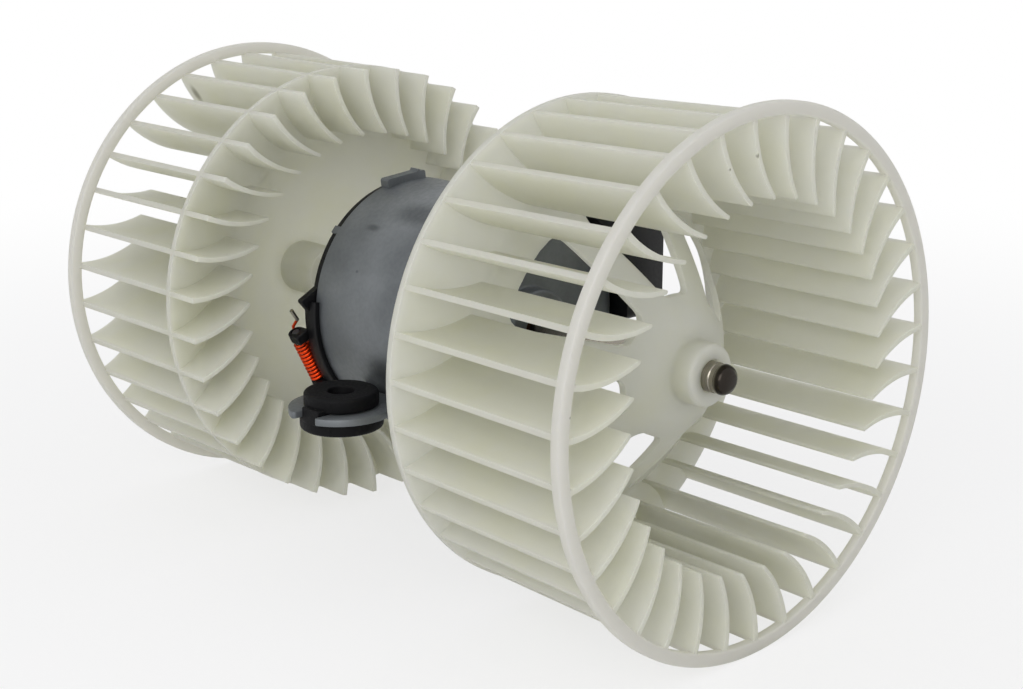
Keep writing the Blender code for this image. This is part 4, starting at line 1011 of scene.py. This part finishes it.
class BLOWER_OT_chokes(bpy.types.Operator):
    """Wind the two choke coils on their ferrite rods, each with a lead whose end is tinned"""

    bl_idname = "blower.chokes"
    bl_label = "Choke coils"

    def execute(self, context):
        motor = context.scene.blower_motor
        length_wound = coil_length(motor)
        rod_end = length_wound / 2 + SEAT_GAP + motor.prong
        rod_radius = motor.coil_radius - motor.coil_wire / 2 - SEAT_GAP
        # Solder makes the lead's end thicker than the wire.
        tinned_radius = motor.coil_wire * 0.62
        steps = motor.coil_turns * 24
        for name, side_turn in CHOKES:
            seat = choke_seat(motor, side_turn)
            points, tinned = lead_points(motor)
            for step in range(steps + 1):
                share = step / steps
                turn = math.pi / 2 + FULL_TURN * motor.coil_turns * share
                points.append(around(turn, motor.coil_radius, length_wound * (share - 0.5)))
            coil = wire("wound_choke_" + name, [seat @ point for point in points], motor.coil_wire / 2)
            dress(coil, "enamelled_copper", "motor", ["choke_coil_" + name], 60.0)
            end = wire("tinned_lead_" + name, [seat @ point for point in tinned], tinned_radius)
            dress(end, "spring_steel", "motor", smooth=60.0)
            outline = symmetric([(rod_end, 0.2 * MM, 0.0), (rod_end, rod_radius, 0.3 * MM)])
            rod = moved(add_turned(bmesh.new(), outline, 32, closed=False), seat)
            dress(to_object("ferrite_rod_" + name, rod), "ferrite", "motor", ["choke_core_" + name])
        return {"FINISHED"}


def ear_frame(motor, side):
    """The middle of a grommet's hole, with X turned to point up."""
    middle = Matrix.Translation((0, side * motor.ear_reach, motor.ear_z))
    return middle @ Matrix.Rotation(-math.pi / 2, 4, "Y")


def arc(middle, radius, first, last, steps, eases):
    """Corners on a circle about a place on the ear's axis, from the can's side; two radii ease its ends."""
    corners = []
    for step in range(steps + 1):
        turn = first + (last - first) * step / steps
        ease = {0: eases[0], steps: eases[1]}.get(step, 0.0)
        corners.append((radius * math.sin(turn), middle - radius * math.cos(turn), ease))
    return corners


def fork_outline(motor):
    """An ear from above: straight sides, a round end, and a slot that opens into the grommet's hole."""
    half = motor.strip_width / 2
    start = motor.ear_join - 0.5 * MM
    mouth = 0.9 * MM
    throat = 0.4 * MM
    sides = [abs(motor.slot_shift + share * motor.slot_width) for share in (0.5, -0.5)]
    shoulder = math.asin(half / motor.ear_radius)
    outer = [math.pi - math.asin(side / motor.ear_radius) for side in sides]
    hole = [math.pi - math.asin(side / motor.ear_hole) for side in sides]
    return eased([
        (half, start, 0.0),
        *arc(motor.ear_reach, motor.ear_radius, shoulder, outer[0], 16, (0.0, mouth)),
        *arc(motor.ear_reach, motor.ear_hole, hole[0], -hole[1], 36, (throat, throat)),
        *arc(motor.ear_reach, motor.ear_radius, -outer[1], -shoulder, 16, (mouth, 0.0)),
        (-half, start, 0.0),
    ])


def cradle_outline(motor):
    """The strip from the side: a cradle under the can that turns out level on both sides."""
    wall = motor.strip_wall
    middle = motor.can_radius + SEAT_GAP + wall / 2
    rise = math.asin(-motor.ear_z / middle)
    reach = motor.ear_join + 0.5 * MM
    route = [(reach, motor.ear_z, 0.0)]
    steps = 40
    # The points beside the two bends are left out, so that these have room to be rounded.
    for step in (0, *range(3, steps - 2), steps):
        turn = -rise - (math.pi - 2 * rise) * step / steps
        bend = motor.strip_bend + wall / 2 if step in (0, steps) else 0.0
        route.append((*around(turn, middle)[1:], bend))
    route.append((-reach, motor.ear_z, 0.0))
    line = eased(route, steps=6, closed=False)
    upper, lower = [], []
    for index, point in enumerate(line):
        before = line[max(index - 1, 0)]
        after = line[min(index + 1, len(line) - 1)]
        along = (after - before).normalized()
        square = Vector((-along.y, along.x)) * wall / 2
        upper.append(point + square)
        lower.append(point - square)
    return upper + lower[::-1]


class BLOWER_OT_bracket(bpy.types.Operator):
    """Form the bracket from one strip: a cradle that turns out into two level forks"""

    bl_idname = "blower.bracket"
    bl_label = "Mounting bracket"

    def execute(self, context):
        motor = context.scene.blower_motor
        half = motor.strip_width / 2
        wall = motor.strip_wall
        sheared = 0.25 * MM
        cradle = add_prism(bmesh.new(), cradle_outline(motor), 0, -half, half)
        strip = to_object("formed_bracket", soften(cradle, sheared))
        ears = []
        for _, side in EARS:
            outline = [(x, side * y) for x, y in fork_outline(motor)]
            ear = add_prism(bmesh.new(), outline, 2, motor.ear_z - wall / 2, motor.ear_z + wall / 2)
            ears.append(soften(ear, sheared))
        combine(strip, "UNION", *ears)
        dress(strip, "zinc_steel", "motor", ["mounting_bracket"])
        return {"FINISHED"}


def grommet_outline(motor):
    """A grommet's section: two flanges, a grooved waist, and a bore with a shallow dish round it."""
    groove = motor.strip_wall / 2 + SEAT_GAP
    waist = motor.ear_hole - SEAT_GAP
    top = groove + motor.top_wall
    base = -groove - motor.base_wall
    edge = motor.grommet_edge
    return eased([
        (base, motor.bore, 0.4 * MM),
        (base, motor.base_radius, edge),
        (-groove, motor.base_radius, 0.4 * MM),
        (-groove, waist, 0.0),
        (groove, waist, 0.0),
        (groove, motor.top_radius, 0.4 * MM),
        (top, motor.top_radius, edge),
        (top - motor.dish, motor.bore + 1.5 * MM, 0.5 * MM),
        (top - motor.dish, motor.bore, 0.3 * MM),
    ])


def grommet_web(motor, side):
    """The web that fills the fork's slot beside the grommet's waist."""
    half = motor.slot_width / 2 - SEAT_GAP
    height = motor.strip_wall / 2 + SEAT_GAP + motor.web_lip
    reaches = (motor.bore + motor.web_wall, motor.base_radius)
    low_y, high_y = sorted(side * (motor.ear_reach + reach) for reach in reaches)
    low = (motor.slot_shift - half, low_y, motor.ear_z - height)
    high = (motor.slot_shift + half, high_y, motor.ear_z + height)
    return soften(add_box(bmesh.new(), low, high), 0.4 * MM, 3)


def grommet_seam(motor, side):
    """The raised line where the halves of the mould met, on both flanges."""
    groove = motor.strip_wall / 2 + SEAT_GAP
    edge = motor.grommet_edge
    half_width = 0.15 * MM
    proud = 0.12 * MM
    flanges = (
        (groove + edge / 2, groove + motor.top_wall - edge, motor.top_radius),
        (-groove - motor.base_wall + edge, -groove - edge / 2, motor.base_radius),
    )
    shape = bmesh.new()
    for low, high, radius in flanges:
        for out in (-1, 1):
            near, far = sorted((out * (radius - MM), out * (radius + proud)))
            add_box(shape, (low, near, -half_width), (high, far, half_width))
    return moved(shape, ear_frame(motor, side) @ Matrix.Rotation(motor.seam_turn, 4, "X"))


class BLOWER_OT_grommets(bpy.types.Operator):
    """Mould the two rubber grommets"""

    bl_idname = "blower.grommets"
    bl_label = "Grommets"

    def execute(self, context):
        motor = context.scene.blower_motor
        for name, side in EARS:
            shape = moved(add_turned(bmesh.new(), grommet_outline(motor), 96), ear_frame(motor, side))
            grommet = to_object("moulded_grommet_" + name, shape)
            combine(grommet, "UNION", grommet_web(motor, side), grommet_seam(motor, side))
            dress(grommet, "black_rubber", "motor", ["grommet_" + name])
        return {"FINISHED"}


def terminal_blade(motor, low, high):
    """A flat terminal from above, whose nose narrows."""
    taper = motor.blade_taper
    outline = [
        (low.x, low.y),
        (high.x, low.y),
        (high.x, high.y - 2 * taper),
        (high.x - taper, high.y),
        (low.x + taper, high.y),
        (low.x, high.y - 2 * taper),
    ]
    return soften(add_prism(bmesh.new(), outline, 2, low.z, high.z), 0.12 * MM)


class BLOWER_OT_connector(bpy.types.Operator):
    """Mould the connector housing on the far side of the can, and stamp its two terminals"""

    bl_idname = "blower.connector"
    bl_label = "Connector"

    def execute(self, context):
        motor = context.scene.blower_motor
        low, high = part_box("connector_housing")
        wall = motor.socket_wall
        outline = rectangle((low.x, low.z), (high.x, high.z), 1.6 * MM)
        shape = add_prism(bmesh.new(), outline, 1, 0.0, high.y)
        housing = to_object("moulded_connector", soften(shape, 0.4 * MM))
        seat = motor.can_radius + SEAT_GAP
        saddle = add_turned(bmesh.new(), [(low.x - MM, seat), (high.x + MM, seat)], 128, closed=False)
        outline = rectangle((low.x + wall, low.z + wall), (high.x - wall, high.z - wall), 0.8 * MM)
        recess = add_prism(bmesh.new(), outline, 1, high.y - motor.socket_depth, high.y + MM)
        combine(housing, "DIFFERENCE", saddle, recess)
        dress(housing, "black_moulding", "motor", ["connector_housing"])
        radius = motor.blade_hole
        for name in ("terminal_upper", "terminal_lower"):
            low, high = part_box(name)
            blade = to_object("blade_" + name, terminal_blade(motor, low, high))
            middle = (low + high) / 2
            place = Matrix.Translation((middle.x, high.y - motor.blade_hole_place, middle.z))
            hole = add_turned(bmesh.new(), [(-MM, radius), (MM, radius)], 32, closed=False)
            combine(blade, "DIFFERENCE", moved(hole, place @ Matrix.Rotation(math.pi / 2, 4, "Y")))
            dress(blade, "brass", "motor", [name])
        return {"FINISHED"}


def bush_outline(low, high, bore, crown):
    """A self-aligning bush: its outside falls away from the middle towards both ends."""
    points = [(low.x, bore)]
    for step in range(13):
        share = step / 6 - 1
        points.append(((low.x + high.x) / 2 + (high.x - low.x) / 2 * share, high.y - crown * share**2))
    return points + [(high.x, bore)]


class BLOWER_OT_bearings(bpy.types.Operator):
    """Turn the sintered bushes, their spring retainers and the thrust washers"""

    bl_idname = "blower.bearings"
    bl_label = "Bearings"

    def execute(self, context):
        motor = context.scene.blower_motor
        radius = motor.shaft_radius
        kinds = (
            ("bearing", radius + 0.1 * MM, motor.bearing_crown, "sintered_bronze", "motor"),
            ("retainer", motor.retainer_hole, 0.0, "spring_steel", "motor"),
            ("thrust_washer", radius + SEAT_GAP, 0.0, "washer_fibre", "rotor"),
        )
        for side in ("left", "right"):
            for kind, bore, crown, slot, body in kinds:
                node = f"{kind}_{side}"
                low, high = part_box(node)
                outline = rectangle((low.x, bore), (high.x, high.y), 0.1 * MM)
                if crown:
                    outline = bush_outline(low, high, bore, crown)
                shape = add_turned(bmesh.new(), outline, 72)
                dress(to_object(f"turned_{node}", shape), slot, body, [node])
        return {"FINISHED"}


def seen(tree):
    """One where the camera looks, also by reflection or through glass, and nought for other light."""
    share = add(tree, "ShaderNodeLightPath", {}, "Is Camera Ray")
    rays = share.node.outputs
    for ray in ("Is Glossy Ray", "Is Transmission Ray"):
        share = add(tree, "ShaderNodeMath", {0: share, 1: rays[ray]}, operation="MAXIMUM")
    return share


def studio_floor(colours):
    """Matt white paint that keeps the shadow and fades into the white backdrop away from the object."""
    material, tree, shader, place = new_finish("white_floor")
    fill(tree, shader, {"Base Color": colours.floor, "Roughness": 0.9})
    far = add(tree, "ShaderNodeVectorMath", {0: place}, "Value", operation="LENGTH")
    reach = {"Value": far, "From Min": 0.15, "From Max": 0.7, "To Min": 0.72, "To Max": 1.0}
    fade = add(tree, "ShaderNodeMapRange", reach, **SMOOTH)
    share = add(tree, "ShaderNodeMath", {0: seen(tree), 1: fade}, operation="MULTIPLY")
    white = add(tree, "ShaderNodeEmission", {"Color": (1.0, 1.0, 1.0), "Strength": 1.0})
    mix = add(tree, "ShaderNodeMixShader", {0: share, 1: shader.outputs[0], 2: white})
    fill(tree, tree.nodes["Material Output"], {"Surface": mix})
    return material


def studio_world():
    """White to the camera and in reflections, and a softer cool light on everything else."""
    world = bpy.data.worlds.new("studio")
    bpy.context.scene.world = world
    world.use_nodes = True
    tree = world.node_tree
    tree.nodes.clear()
    soft = add(tree, "ShaderNodeBackground", {"Color": (0.97, 0.97, 1.0), "Strength": 0.62})
    white = add(tree, "ShaderNodeBackground", {"Color": (1.0, 1.0, 1.0), "Strength": 1.0})
    mix = add(tree, "ShaderNodeMixShader", {0: seen(tree), 1: soft, 2: white})
    fill(tree, tree.nodes.new("ShaderNodeOutputWorld"), {"Surface": mix})


class BLOWER_OT_stage(bpy.types.Operator):
    """Set the floor, the soft lamps and the camera"""

    bl_idname = "blower.stage"
    bl_label = "Stage"

    def execute(self, context):
        shape = bmesh.new()
        bmesh.ops.create_circle(shape, cap_ends=True, radius=3.0, segments=96)
        floor = to_object("studio_floor", shape)
        floor.location.z = FLOOR_Z
        floor.data.materials.append(studio_floor(context.scene.blower_colours))
        studio_world()
        lamps = (
            ("key_softbox", (0.5, -0.68, 0.38), 0.6, 3.0),
            ("left_softbox", (-0.55, -0.6, 0.3), 0.6, 0.25),
            ("top_softbox", (0.0, 0.1, 0.95), 0.9, 0.3),
        )
        for name, place, width, power in lamps:
            light = bpy.data.lights.new(name, "AREA")
            light.size = width
            light.energy = power
            lamp = placed(name, light)
            lamp.location = place
            lamp.rotation_euler = (-Vector(place)).to_track_quat("-Z", "Y").to_euler()
        view = bpy.data.cameras.new("photo_view")
        view.lens = 58.01
        view.sensor_width = 36.0
        view.clip_start = 0.01
        camera = placed("photo_view", view)
        camera.location = (0.37198, -0.32665, 0.12414)
        camera.rotation_euler = (math.radians(74.76), 0.0, math.radians(47.25))
        context.scene.camera = camera
        context.scene.view_settings.view_transform = "Standard"
        return {"FINISHED"}


OPERATORS = (
    BLOWER_OT_finishes,
    BLOWER_OT_stage,
    BLOWER_OT_fans,
    BLOWER_OT_shaft,
    BLOWER_OT_can,
    BLOWER_OT_brush_card,
    BLOWER_OT_chokes,
    BLOWER_OT_bracket,
    BLOWER_OT_grommets,
    BLOWER_OT_connector,
    BLOWER_OT_bearings,
)


class BLOWER_PT_sidebar(bpy.types.Panel):
    """Steps that build the blower, in order"""

    bl_label = "Cabin Blower Motor"
    bl_space_type = "VIEW_3D"
    bl_region_type = "UI"
    bl_category = "Blower"

    def draw(self, context):
        scene = context.scene
        for group in (scene.blower_fans, scene.blower_motor, scene.blower_colours):
            box = self.layout.box()
            for name in group.__annotations__:
                box.prop(group, name)
        for operator in OPERATORS:
            self.layout.operator(operator.bl_idname)


CLASSES = (FanSizes, MotorSizes, Colours, *OPERATORS, BLOWER_PT_sidebar)


def register():
    for one in CLASSES:
        bpy.utils.register_class(one)
    bpy.types.Scene.blower_fans = PointerProperty(type=FanSizes)
    bpy.types.Scene.blower_motor = PointerProperty(type=MotorSizes)
    bpy.types.Scene.blower_colours = PointerProperty(type=Colours)


def unregister():
    del bpy.types.Scene.blower_colours
    del bpy.types.Scene.blower_motor
    del bpy.types.Scene.blower_fans
    for one in reversed(CLASSES):
        bpy.utils.unregister_class(one)


def main():
    """Builds every piece."""
    register()
    for operator in OPERATORS:
        group, name = operator.bl_idname.split(".")
        getattr(getattr(bpy.ops, group), name)()


if __name__ == "__main__":
    main()
